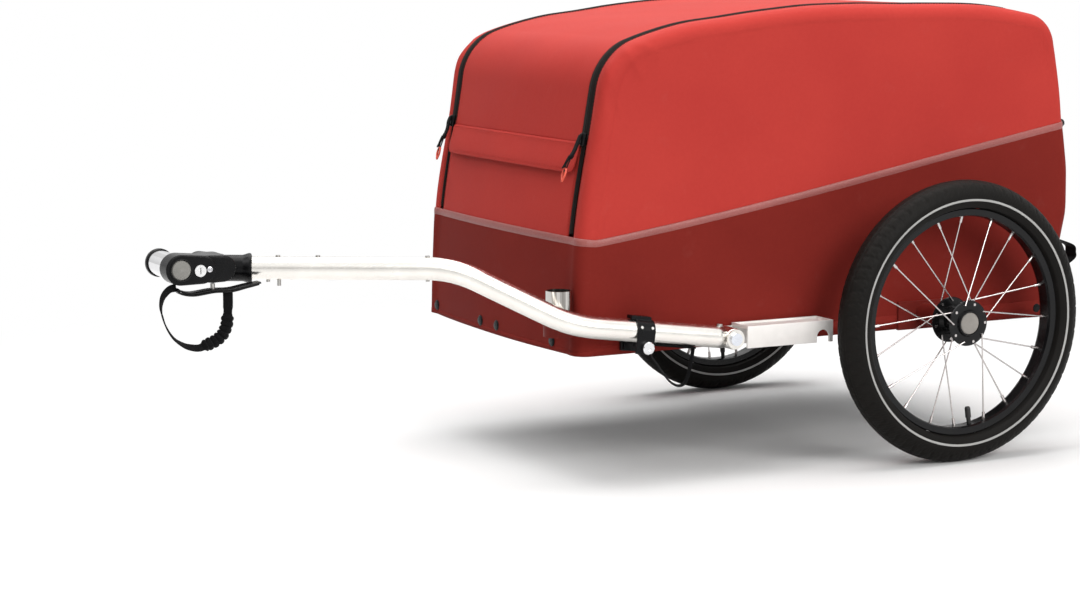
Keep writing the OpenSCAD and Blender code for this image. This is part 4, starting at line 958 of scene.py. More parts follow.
class Stitches:
    """Rows of short thread stitches gathered into one mesh."""

    def __init__(self, name: str, finish: Finish, length: float = 0.0032, pitch: float = 0.0048,
                 width: float = 0.0007) -> None:
        """Starts with no stitches.

        Args:
            name: object name.
            finish: thread finish.
            length: length of a stitch.
            pitch: distance between two stitches.
            width: thickness of the thread.
        """
        self.name, self.finish = name, finish
        self.length, self.pitch, self.width = length, pitch, width
        self.points: list = []
        self.faces: list = []

    def run(self, path: np.ndarray, normals: np.ndarray) -> None:
        """Sews along a path.

        Args:
            path: points on the cloth.
            normals: outward directions at the points.
        """
        path, normals = np.asarray(path, float), np.asarray(normals, float)
        run = distances(path)
        marks = np.arange(self.pitch / 2, run[-1], self.pitch)
        centre = np.stack([np.interp(marks, run, path[:, k]) for k in range(3)], axis=1)
        normal = unit(np.stack([np.interp(marks, run, normals[:, k]) for k in range(3)], axis=1))
        along = tangents(path)
        along = unit(np.stack([np.interp(marks, run, along[:, k]) for k in range(3)], axis=1))
        side = unit(np.cross(normal, along))
        half, w = self.length / 2, self.width
        for c, n, a, s in zip(centre, normal, along, side):
            first = len(self.points)
            self.points += [c - a * half, c + a * half, c + s * w / 2, c - s * w / 2, c + n * w * 0.7,
                            c - n * w * 0.4]
            for x, y in ((2, 4), (4, 3), (3, 5), (5, 2)):
                self.faces += [(first, first + x, first + y), (first + 1, first + y, first + x)]

    def build(self) -> bpy.types.Object:
        """Returns the mesh of all stitches."""
        points = np.array(self.points)
        return make_mesh(self.name, points, self.faces, self.finish, points[:, :2])


# ---------------------------------------------------------------- the fabric skin


@dataclass(frozen=True)
class Fold:
    """A soft ridge or crease on the fabric.

    Args:
        start: one end.
        end: the other end.
        width: half width of the fold.
        height: rise over the cloth, below zero for a crease.
    """

    start: tuple
    end: tuple
    width: float
    height: float

    def lift(self, points: np.ndarray) -> np.ndarray:
        """Measures the fold at points of the cloth.

        Args:
            points: the points, x y z last.
        Returns:
            Height of the fold at each point.
        """
        a, b = np.array(self.start), np.array(self.end)
        share = np.clip(((points - a) @ (b - a)) / ((b - a) @ (b - a)), 0, 1)
        gap = np.linalg.norm(points - (a + share[..., None] * (b - a)), axis=-1)
        fade = np.sin(np.pi * (0.15 + 0.7 * share))
        return self.height * fade * np.exp(-(gap / self.width) ** 2)


@dataclass
class Skin:
    """The outer surface of the fabric body, from its side outline and its rounded side edges.

    Args:
        corners: the side outline's corners from front to rear: x from the axle, z, radius, in millimetres.
        half_w: half the body's width.
        edge_r: radius of the side edges.
        crown: how far the front's middle bulges.
        edge_lift: how far the cloth stands up beside the zips.
        zip_out: the zips' outer edge.
        band_front: the band's upper edge at the front.
        band_rear: the band's upper edge at the rear.
        band_h: height of the band.
        band_sag: how far the band sags between front and rear.
        band_from: front end of the sag, from the axle.
        band_run: length of the sag.
        band_dip: how far the side band lies under its ends.
        folds: folds and creases.
    """

    corners: tuple = ((-553, 175, 0), (-548, 331, 500), (-506, 574, 80), (-410, 608, 480), (-200, 635, 1200),
                      (110, 634, 700), (224, 611, 50), (258, 395, 150), (259, 330, 120), (225, 175, 0))
    half_w: float = HALF_W
    edge_r: float = 0.020
    crown: float = 0.012
    edge_lift: float = 0.004
    zip_out: float = ZIP_OUTER
    band_front: float = 0.331
    band_rear: float = 0.463
    band_h: float = 0.009
    band_sag: float = 0.009
    band_from: float = -0.524
    band_run: float = 0.770
    band_dip: float = 0.002
    folds: list = field(default_factory=list)

    def __post_init__(self) -> None:
        """Rounds the outline's corners and measures its run."""
        c = np.array(self.corners, float) * MM
        rows = [self._end(c[0, :2], c[1, :2], c[0, :2])]
        for i in range(1, len(c) - 1):
            rows += self._corner(c[i - 1], c[i], c[i + 1])
        rows.append(self._end(c[-2, :2], c[-1, :2], c[-1, :2]))
        self.rows = np.array(rows)
        self.run = distances(self.rows[:, :2])
        self.length = self.run[-1]
        self.flat = self.half_w - self.edge_r
        self.rim = self.flat + self.edge_r * math.pi / 2
        self.peak = int(np.argmax(self.rows[:, 1]))

    @staticmethod
    def _end(a: np.ndarray, b: np.ndarray, at: np.ndarray) -> list:
        """Row at an end of the outline.

        Args:
            a: start of the end's edge.
            b: end of the end's edge.
            at: the row's place.
        Returns:
            x, z and the edge's normal.
        """
        d = unit(b - a)
        return [at[0], at[1], -d[1], d[0]]

    @staticmethod
    def _corner(a: np.ndarray, b: np.ndarray, c: np.ndarray) -> list:
        """Rounds one corner of the outline.

        Args:
            a: the corner before.
            b: the corner, with its radius.
            c: the corner after.
        Returns:
            Rows of x, z and normal.
        """
        d0, d1 = unit(b[:2] - a[:2]), unit(c[:2] - b[:2])
        turn = math.atan2(d0[0] * d1[1] - d0[1] * d1[0], float(d0 @ d1))
        side = 1 if turn < 0 else -1
        n0 = np.array([-d0[1], d0[0]])
        start = b[:2] - d0 * b[2] * math.tan(abs(turn) / 2)
        centre = start - side * b[2] * n0
        steps = max(3, math.ceil(abs(math.degrees(turn)) / 1.5))
        rows = []
        for i in range(steps + 1):
            t = turn * i / steps
            n = np.array([n0[0] * math.cos(t) - n0[1] * math.sin(t),
                          n0[0] * math.sin(t) + n0[1] * math.cos(t)])
            p = centre + side * b[2] * n
            rows.append([p[0], p[1], n[0], n[1]])
        return rows

    def row(self, t: np.ndarray) -> np.ndarray:
        """Outline rows (x, z, normal x, normal z) at distances along the outline."""
        return np.stack([np.interp(t, self.run, self.rows[:, k]) for k in range(4)], axis=-1)

    def front_at(self, z: float) -> float:
        """Distance along the outline where its front part reaches a height."""
        part = slice(0, self.peak + 1)
        return float(np.interp(z, self.rows[part, 1], self.run[part]))

    def rear_at(self, z: float) -> float:
        """Distance along the outline where its rear part reaches a height."""
        return float(np.interp(-z, -self.rows[self.peak:, 1], self.run[self.peak:]))

    def top_at(self, x: float) -> float:
        """Distance along the outline where its top reaches a place measured from the axle."""
        part = slice(0, len(self.rows) - 12)
        return float(np.interp(x, self.rows[part, 0], self.run[part]))

    def points(self, t: Places, s: Places, d: Places = 0.0, plain: bool = False) -> np.ndarray:
        """Points of the skin.

        Args:
            t: distance along the outline.
            s: distance from the middle, along the cloth.
            d: height over the cloth.
            plain: leaves the folds out.
        Returns:
            The points, with the shape of t and s together.
        """
        t, s, d = np.broadcast_arrays(np.asarray(t, float), np.asarray(s, float), np.asarray(d, float))
        q = self.row(t)
        bend = np.clip((np.abs(s) - self.flat) / self.edge_r, 0, None)
        inset = self.edge_r * (1 - np.cos(bend))
        sign = np.where(s < 0, -1.0, 1.0)
        normal = self.normals(t, s)
        base = np.stack([AXLE_X + q[..., 0] - q[..., 2] * inset,
                         sign * (np.minimum(np.abs(s), self.flat) + self.edge_r * np.sin(bend)),
                         q[..., 1] - q[..., 3] * inset], axis=-1)
        lift = d + self.stand(q, np.abs(s)) + (0.0 if plain else self.relief(base))
        return base + normal * np.asarray(lift)[..., None]

    def stand(self, q: np.ndarray, a: np.ndarray) -> np.ndarray:
        """How far the front stands out of the plain outline: its bulge and the lifted edges beside the zips.

        Args:
            q: outline rows.
            a: distance from the middle, along the cloth.
        Returns:
            The height at each point.
        """
        share = np.minimum(a, self.flat) / self.flat
        beside = np.clip((a - self.zip_out) / (self.rim - self.zip_out), 0, 1)
        rise = self.crown * (1 - share**2) + self.edge_lift * np.sin(np.pi * beside)
        return np.maximum(0.0, -q[..., 2]) * rise

    def normals(self, t: Places, s: Places) -> np.ndarray:
        """Outward directions of the skin.

        Args:
            t: distance along the outline.
            s: distance from the middle, along the cloth.
        Returns:
            The directions, with the shape of t and s together.
        """
        t, s = np.broadcast_arrays(np.asarray(t, float), np.asarray(s, float))
        q = self.row(t)
        bend = np.clip((np.abs(s) - self.flat) / self.edge_r, 0, None)
        sign = np.where(s < 0, -1.0, 1.0)
        return unit(np.stack([q[..., 2] * np.cos(bend), sign * np.sin(bend), q[..., 3] * np.cos(bend)],
                             axis=-1))

    def relief(self, p: np.ndarray) -> np.ndarray:
        """Adds up folds and slow waves.

        Args:
            p: points of the cloth, x y z last.
        Returns:
            Height over the plain cloth at each point.
        """
        x, y, z = p[..., 0], p[..., 1], p[..., 2]
        wave = (0.00045 * np.sin(21 * x + 5 * z + 1.3 * np.sin(9 * z + 4 * y))
                + 0.00030 * np.sin(37 * z - 11 * x + 17 * y + 0.8)
                + 0.00018 * np.sin(63 * x + 41 * z + 29 * y))
        for fold in self.folds:
            wave = wave + fold.lift(p)
        return wave

    def band_top(self, x: np.ndarray) -> np.ndarray:
        """Gives the band's upper edge on a side wall, without the end corrections.

        Args:
            x: places measured from the axle.
        Returns:
            Height of the edge at each place.
        """
        w = np.clip((x - self.band_from) / self.band_run, 0, 1)
        return (self.band_front - self.band_dip + (self.band_rear - self.band_dip - self.band_front) * w
                - self.band_sag * np.sin(np.pi * w) * (1 - w))

    def band_line(self, w: np.ndarray, drop: float) -> tuple:
        """x and z on a side wall along the band, a distance below its upper edge.

        Args:
            w: share of the way from front to rear.
            drop: distance below the upper edge.
        Returns:
            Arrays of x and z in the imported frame.
        """
        a = self.points(self.front_at(self.band_front - drop), self.rim, plain=True)
        b = self.points(self.rear_at(self.band_rear - drop), self.rim, plain=True)
        x = a[0] + (b[0] - a[0]) * w
        ends = [p[2] + drop - self.band_top(p[0] - AXLE_X) for p in (a, b)]
        z = self.band_top(x - AXLE_X) + ends[0] * (1 - w) + ends[1] * w - drop
        return x, z


@dataclass
class Perimeter:
    """Columns round the body, from the front's middle over right, rear and left back to the front.

    Args:
        skin: the surface.
        across: columns from the front's middle to its rounded edge.
        round_edge: columns round an edge.
        along: columns along a side.
    """

    skin: Skin
    across: int = 26
    round_edge: int = 10
    along: int = 110

    def column_places(self) -> list:
        """Part and place of each column: the distance from the middle, or on a side the share of it."""
        k = self.skin
        half = list(np.linspace(0, k.flat, self.across)) + list(
            np.linspace(k.flat, k.rim, self.round_edge)[1:])
        wall = list(np.linspace(0, 1, self.along))[1:-1]
        places = [("front", s) for s in half]
        places += [("right", w) for w in wall]
        places += [("rear", s) for s in reversed(half)]
        places += [("rear", -s) for s in half[1:]]
        places += [("left", w) for w in reversed(wall)]
        places += [("front", -s) for s in reversed(half[1:])]
        return places

    def surface(self, drops: np.ndarray, low: float | None, lift: float) -> tuple:
        """Points of the skin in columns.

        Args:
            drops: distances below the band's upper edge, or shares of the way down if low is given.
            low: None, or the drop below the band's upper edge at share 0; share 1 is the lower edge.
            lift: height over the skin.
        Returns:
            Points, outward directions and cloth metres, each by column and drop.
        """
        points, normals, uv = [], [], []
        run, last = 0.0, None
        for part, value in self.column_places():
            column, outward = self._column(part, value, drops, low, lift)
            if last is not None:
                run += float(np.linalg.norm(column[0] - last))
            last = column[0]
            points.append(column)
            normals.append(outward)
            uv.append(np.stack([np.full(len(column), run), distances(column)], axis=1))
        return np.array(points), np.array(normals), np.array(uv)

    def _column(self, part: str, value: float, drops: np.ndarray, low: float | None, lift: float) -> tuple:
        """Makes one column.

        Args:
            part: front, right, rear or left.
            value: its place, as in column_places.
            drops: as in surface.
            low: as in surface.
            lift: as in surface.
        Returns:
            Points and outward directions.
        """
        k = self.skin
        ends = {"front": (k.front_at, k.band_front, 0.0), "rear": (k.rear_at, k.band_rear, k.length)}
        runs = {}
        for name, (at, z, foot) in ends.items():
            runs[name] = (at(z - low) + (foot - at(z - low)) * drops if low is not None
                          else np.array([at(z - d) for d in drops]))
        if part in ends:
            t = runs[part]
            return k.points(t, value, lift), k.normals(t, np.full_like(t, value))
        sign = 1.0 if part == "right" else -1.0
        f = k.points(runs["front"], k.rim, plain=True)
        r = k.points(runs["rear"], k.rim, plain=True)
        x = f[:, 0] + (r[:, 0] - f[:, 0]) * value
        z = f[:, 2] + (r[:, 2] - f[:, 2]) * value
        if low is not None:
            _, top = k.band_line(np.array([value]), low)
            z = z + (top[0] - z[0]) * (1 - drops)
        else:
            z = np.array([k.band_line(np.array([value]), d)[1][0] for d in drops])
        base = np.stack([x, np.full_like(x, sign * k.half_w), z], axis=1)
        outward = np.tile([0.0, sign, 0.0], (len(x), 1))
        return base + outward * (lift + k.relief(base))[:, None], outward


def side_folds() -> list:
    """Folds of the fabric that the picture shows, mostly near the nose corner and the band's ends."""
    folds = []
    for side in (-1, 1):
        y = side * HALF_W
        folds += [
            Fold((-0.098, side * 0.228, 0.572), (-0.118, y, 0.500), 0.007, 0.0022),
            Fold((-0.085, side * 0.230, 0.585), (-0.060, y, 0.545), 0.006, 0.0018),
            Fold((-0.070, side * 0.232, 0.592), (-0.030, y, 0.570), 0.005, 0.0014),
            Fold((-0.108, side * 0.232, 0.540), (-0.095, y, 0.480), 0.006, -0.0016),
            Fold((-0.122, side * 0.236, 0.480), (-0.128, y, 0.345), 0.007, -0.0012),
            Fold((-0.112, y, 0.400), (-0.122, y, 0.340), 0.006, 0.0012),
            Fold((0.630, side * 0.234, 0.560), (0.640, y, 0.470), 0.010, 0.0022),
            Fold((0.640, side * 0.233, 0.440), (0.652, y, 0.330), 0.011, 0.0016),
            Fold((0.600, y, 0.590), (0.620, y, 0.520), 0.009, -0.0018),
        ]
    return folds


class FabricBody:
    """The upper and lower fabric panels, the band round them, and the seams."""

    def __init__(self, skin: Skin) -> None:
        """Takes the skin.

        Args:
            skin: surface that every panel lies on.
        """
        self.skin = skin
        self.cover_rear = skin.top_at(COVER_REAR)
        self.red = Stitches("stitches_upper", STITCH_RED)
        self.dark = Stitches("stitches_lower", STITCH_DARK)

    def cloth(self, name: str, points: np.ndarray, uv: np.ndarray, finish: Finish, thick: float = 0.0012,
              flip: bool = False, wrap: bool = False) -> bpy.types.Object:
        """Makes a cloth panel with thickness from a grid of points.

        Args:
            name: object name.
            points: grid of points, rows by columns.
            uv: cloth metres at the points.
            finish: the finish.
            thick: thickness of the cloth, inward.
            flip: turns the faces round.
            wrap: joins the last row to the first.
        Returns:
            The panel.
        """
        rows, columns = points.shape[:2]
        faces = grid_faces(rows, columns, wrap)
        if flip:
            faces = [tuple(reversed(f)) for f in faces]
        thing = make_mesh(name, points, faces, finish, uv)
        solid = thing.modifiers.new("thickness", "SOLIDIFY")
        solid.thickness, solid.offset = thick, -1.0
        return bake(thing)

    def upper_side(self, side: Side) -> None:
        """Makes a bright side panel: strip beside the zip, rounded edge and wall over the band.

        Args:
            side: side of the trailer.
        """
        k, sign = self.skin, side.value
        t = np.linspace(k.front_at(k.band_front - k.band_h / 2), k.rear_at(k.band_rear - k.band_h / 2), 240)
        s = np.concatenate([np.linspace(ZIP_OUTER, k.flat + 0.002, 3), np.linspace(k.flat, k.rim, 13)[1:]])
        strip = k.points(t[:, None], sign * s[None])
        edge = k.points(t, sign * k.rim, plain=True)
        share = (t - t[0]) / (t[-1] - t[0])
        by_x = (edge[:, 0] - edge[0, 0]) / (edge[-1, 0] - edge[0, 0])
        w = 0.35 * share + 0.65 * np.clip(by_x, 0, 1)
        w = np.maximum.accumulate(w)  # the seam runs only rearward
        w = (w - w[0]) / (w[-1] - w[0])
        seam_x, seam_z = k.band_line(w, k.band_h / 2)
        seam = np.stack([seam_x, np.full_like(seam_x, sign * k.half_w), seam_z], axis=1)
        v = np.linspace(0, 1, 61)[1:]
        wall = edge[:, None] * (1 - v[None, :, None]) + seam[:, None] * v[None, :, None]
        wall[..., 1] += sign * k.relief(wall)
        points = np.concatenate([strip, wall], axis=1)
        uv = np.stack([np.broadcast_to(t[:, None], points.shape[:2]), points[..., 2]], axis=2)
        uv[:, :len(s), 1] = s[None]
        uv[:, len(s):] = wall[..., [0, 2]]
        name = f"{side.word}_upper_cloth"
        thing = self.cloth(name, points, uv, RED, flip=side is Side.RIGHT)
        settle(thing, "chassis", "fabric_red", f"{side.word}_side_panel")
        line_t = np.linspace(k.front_at(k.band_front + 0.004), self.cover_rear, 300)
        line_s = sign * (ZIP_OUTER + STITCH_INSET)
        self.red.run(k.points(line_t, line_s, STITCH_LIFT), k.normals(line_t, line_s))

    def panel(self, name: str, body: str, node: str, t0: float, t1: float, half: float, finish: Finish,
              rows: int, lift: float = 0.0) -> bpy.types.Object:
        """Makes a panel across the body.

        Args:
            name: object name.
            body: the body it moves with.
            node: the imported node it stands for.
            t0: distance along the outline of its front end.
            t1: distance along the outline of its rear end.
            half: half its width.
            finish: the finish.
            rows: steps along the outline.
            lift: height over the skin.
        Returns:
            The panel.
        """
        k = self.skin
        t = np.linspace(t0, t1, rows)
        s = np.linspace(-half, half, 61)
        points = k.points(t[:, None], s[None], lift)
        uv = np.stack(np.broadcast_arrays(t[:, None], s[None]), axis=2)
        thing = self.cloth(name, points, uv, finish, flip=True)
        settle(thing, body, "fabric_red", node)
        return thing

    def lower(self) -> None:
        """Makes the dark lower panel all round, with its hem."""
        round_body = Perimeter(self.skin)
        k = self.skin
        points, _, uv = round_body.surface(np.linspace(0, 1, 36), k.band_h / 2, 0.0)
        thing = self.cloth("lower_cloth", points, uv, DARK_RED, wrap=True)
        settle(thing, "chassis", "fabric_dark_red", "lower_panels")
        points, normals, uv = round_body.surface(np.array([0.955, 1.0]), k.band_h / 2, 0.0006)
        self.dark.run(np.vstack([points[:, 0], points[:1, 0]]), np.vstack([normals[:, 0], normals[:1, 0]]))
        fold = self.cloth("lower_hem", points, uv, DARK_RED, 0.0009, wrap=True)
        settle(fold, "chassis", "fabric_dark_red")

    def band(self) -> None:
        """Makes the reflective band with its two rows of stitches."""
        round_body = Perimeter(self.skin)
        drops = np.array([-0.0004, 0.0008, self.skin.band_h / 2, self.skin.band_h - 0.0008,
                          self.skin.band_h + 0.0004])
        points, normals, uv = round_body.surface(drops, None, 0.0)
        lift = np.array([0.0001, 0.0009, 0.0011, 0.0009, 0.0001])
        points = points + normals * lift[None, :, None]
        thing = self.cloth("band_tape", points, uv, BAND, 0.0008, wrap=True)
        settle(thing, "chassis", "band_reflective", "reflective_band")
        for column in (1, 3):
            ring, out = points[:, column] + normals[:, column] * 0.0002, normals[:, column]
            self.dark.run(np.vstack([ring, ring[:1]]), np.vstack([out, out[:1]]))

    def build(self) -> None:
        """Makes all fixed panels and the cover."""
        k = self.skin
        for side in Side:
            self.upper_side(side)
        gap = 0.0003
        self.panel("front_cloth", "chassis", "front_panel", k.front_at(k.band_front - k.band_h / 2),
                   k.front_at(0.449), ZIP_INNER - gap, RED, 30)
        self.panel("cover_cloth", "cover", "cover_panel", k.front_at(0.453), self.cover_rear,
                   ZIP_INNER - gap, RED, 150)
        self.panel("rear_cloth", "chassis", "rear_panel", self.cover_rear + 0.0006,
                   k.rear_at(k.band_rear - k.band_h / 2), ZIP_OUTER, RED, 60)
        self.lower()
        self.band()
        cover_seam = Stitches("stitches_cover", STITCH_RED)
        for sign in (-1, 1):
            s = sign * (ZIP_INNER - STITCH_INSET)
            for run, stitches in (((k.front_at(0.458), self.cover_rear - 0.002), cover_seam),
                                  ((k.front_at(0.342), k.front_at(0.446)), self.red)):
                t = np.linspace(*run, 220)
                stitches.run(k.points(t, s, STITCH_LIFT), k.normals(t, s))
        settle(cover_seam.build(), "cover", "fabric_red")
        settle(self.red.build(), "chassis", "fabric_red")
        settle(self.dark.build(), "chassis", "fabric_dark_red")


@dataclass
class FrontFlap:
    """The short flap over the cover's front hem: doubled cloth with rounded lower corners.

    Args:
        skin: surface that the flap lies over.
        top: height of its upper edge.
        drop: its length.
        half: half its width.
        corner_r: radius of its lower corners.
        thick: thickness of the doubled cloth.
    """

    skin: Skin
    top: float = 0.456
    drop: float = 0.042
    half: float = 0.1985
    corner_r: float = 0.013
    thick: float = 0.0019

    def build(self) -> None:
        """Makes the flap, its rolled rim and its stitches."""
        k = self.skin
        v = np.linspace(0, 1, 26)
        h = np.linspace(-1, 1, 91)
        t_top, t_low = k.front_at(self.top), k.front_at(self.top - self.drop)
        down = (t_top - t_low) * v[:, None]
        into = np.clip(down - (t_top - t_low - self.corner_r), 0, self.corner_r)
        trim = self.corner_r - np.sqrt(np.maximum(self.corner_r**2 - into**2, 0))
        s = h[None] * (self.half - trim)
        away = 0.0026 + 0.0052 * smooth_step(v[:, None] * 1.1) * (1 - 0.35 * h[None] ** 8)
        waves = 0.0005 * np.sin(9 * h[None] + 2 * v[:, None])
        sewn = 0.0017 * smooth_step((0.09 - v[:, None]) / 0.09)
        points = k.points(t_top - down, s, away + waves - sewn)
        uv = np.stack(np.broadcast_arrays(down, s), axis=2)
        faces = grid_faces(*points.shape[:2])
        flap = make_mesh("flap_cloth", points, faces, RED, uv)
        solid = flap.modifiers.new("thickness", "SOLIDIFY")
        solid.thickness, solid.offset = self.thick, -1.0
        rim = flap.modifiers.new("rim", "BEVEL")
        rim.width, rim.segments, rim.limit_method, rim.angle_limit = 0.0007, 2, "ANGLE", math.radians(50)
        bake(flap)
        settle(flap, "front_flap", "fabric_red", "front_flap")
        stitches = Stitches("stitches_flap", STITCH_RED)
        normal = k.normals(t_top - down, s)
        for row, end in ((2, 2), (-4, 4)):
            out = normal[row, end:-end]
            stitches.run(points[row, end:-end] + out * 0.0002, out)
        settle(stitches.build(), "front_flap", "fabric_red")


class Zip:
    """One long zip: its tape, the covered coil down its middle, and the slider with its corded pull."""

    def __init__(self, skin: Skin, side: Side) -> None:
        """Takes the skin and the side.

        Args:
            skin: surface that the zip lies on.
            side: side of the trailer.
        """
        self.skin, self.side = skin, side
        self.slider_z = 0.460

    def tape(self) -> None:
        """Makes the tape with its raised coil."""
        k, sign = self.skin, self.side.value
        t = np.linspace(k.front_at(0.3355), k.top_at(COVER_REAR), 420)
        profile = np.array([(-0.0062, 0.0001), (-0.0056, 0.0008), (-0.0024, 0.0009), (-0.0019, 0.0017),
                            (-0.0004, 0.0020), (0.0, 0.0013), (0.0004, 0.0020), (0.0019, 0.0017),
                            (0.0024, 0.0009), (0.0056, 0.0008), (0.0062, 0.0001)])
        above = smooth_step((t - k.front_at(self.slider_z - 0.004)) / 0.010)
        s = sign * ZIP_MIDDLE + profile[None, :, 0] * (0.72 + 0.78 * above[:, None])
        points = k.points(t[:, None], s, profile[None, :, 1])
        uv = np.stack(np.broadcast_arrays(t[:, None], s), axis=2)
        thing = make_mesh(f"{self.side.word}_zip_tape", points,
                          [tuple(reversed(f)) for f in grid_faces(*points.shape[:2])], ZIP, uv)
        solid = thing.modifiers.new("thickness", "SOLIDIFY")
        solid.thickness, solid.offset = 0.0006, -1.0
        bake(thing)
        settle(thing, "chassis", "zip_black")
        if self.side is Side.LEFT:
            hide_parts("zip_tapes")

    def slider(self) -> None:
        """Makes the slider, its bail, the cord loop and the moulded tip."""
        k, sign = self.skin, self.side.value
        t = k.front_at(self.slider_z)
        centre = k.points(np.array([t]), np.array([sign * ZIP_MIDDLE]), 0.002)[0]
        out = k.normals(np.array([t]), np.array([sign * ZIP_MIDDLE]))[0]
        up = unit(np.array([-out[2], 0.0, out[0]])) * (1 if out[0] > 0 else -1)
        up = up if up[2] > 0 else -up
        body = f"{self.side.word}_zip_slider"

        def spot(a: float, o: float, u: float) -> np.ndarray:
            """Point from millimetres across, outward and upward of the slider's middle."""
            return centre + (ACROSS * a + out * o + up * u) * MM

        reach = 1.0 if self.side is Side.LEFT else 0.75
        shell = sweep(f"{self.side.word}_slider_body",
                      np.array([spot(0, 1.2, u) for u in np.linspace(-8.5, 8.5, 19)]), ACROSS,
                      flat_section(0.0112, 0.0062), BLACK,
                      swell=np.stack([0.74 + 0.26 * np.sin(np.linspace(0.25, 2.2, 19)),
                                      0.70 + 0.32 * np.sin(np.linspace(0.2, 2.9, 19))], axis=1))
        settle(shell, body, "zip_black", body)
        bail = resample(np.array([spot(0, 3.4, 7), spot(0, 6.0, 5), spot(0, 6.8, 0), spot(0, 5.8, -5),
                                  spot(0, 3.2, -7)]), 0.0006)
        settle(sweep(f"{self.side.word}_slider_bail", bail, ACROSS, round_section(0.0013, 10), BLACK),
               body, "zip_black")
        tab = resample(np.array([spot(0.6, 5.6, 5), spot(0.4, 7.4, -2), spot(0.8, 9.0 * reach + 0.5, -12),
                                 spot(1.8, 12.5 * reach, -22), spot(2.4, 14.5 * reach, -28)]), 0.001)
        share = np.linspace(0, 1, len(tab))
        wide = 0.82 + 0.25 * np.sin(np.pi * share) - 0.25 * smooth_step((share - 0.9) / 0.1)
        settle(sweep(f"{self.side.word}_pull_tab", tab, ACROSS, flat_section(0.0088, 0.0026), STRAP,
                     swell=np.stack([wide, 1 + 0.5 * smooth_step((share - 0.75) / 0.1)], axis=1)),
               body, "zip_black")
        slant = np.array([2.6, 15.0 * reach, 0.0])
        for number, (gap, low) in enumerate(((2.6, -45.0), (1.7, -41.0))):
            loop = []
            for a, o, u in ((0.2, -1.5, -24.0), (gap * 0.8, 0.6, -30.0), (gap, 3.0, -37.0),
                            (gap * 0.45, 4.6 + number, low)):
                loop.append(slant + np.array([a + number, o * reach + 2.2 * number, u]))
            twice = 2 * np.array([slant[0] + number, 0, 0])
            back = [twice + q * np.array([-1, 1, 1]) for q in reversed(loop)]
            strand = np.array([spot(*q) for q in loop + back])
            settle(sweep(f"{self.side.word}_pull_cord_{number}", resample(strand, 0.0008), out,
                         round_section(0.00095, 10), CORD), body, "zip_black")
        tip = [(-1.4, 3.6, -41), (-3.3, 4.6, -46), (-3.6, 5.4, -51), (-1.6, 6.0, -56), (0.0, 6.4, -59),
               (1.6, 6.0, -56), (3.6, 5.4, -51), (3.3, 4.6, -46), (1.4, 3.6, -41)]
        ring = np.array([spot(*(slant + np.array([a, o * reach, u]))) for a, o, u in tip])
        settle(sweep(f"{self.side.word}_pull_tip", resample(ring, 0.0008), out, round_section(0.00145, 12),
                     TIP), body, "zip_black")

    def build(self) -> None:
        """Makes tape and slider."""
        self.tape()
        self.slider()


# ---------------------------------------------------------------- wheels


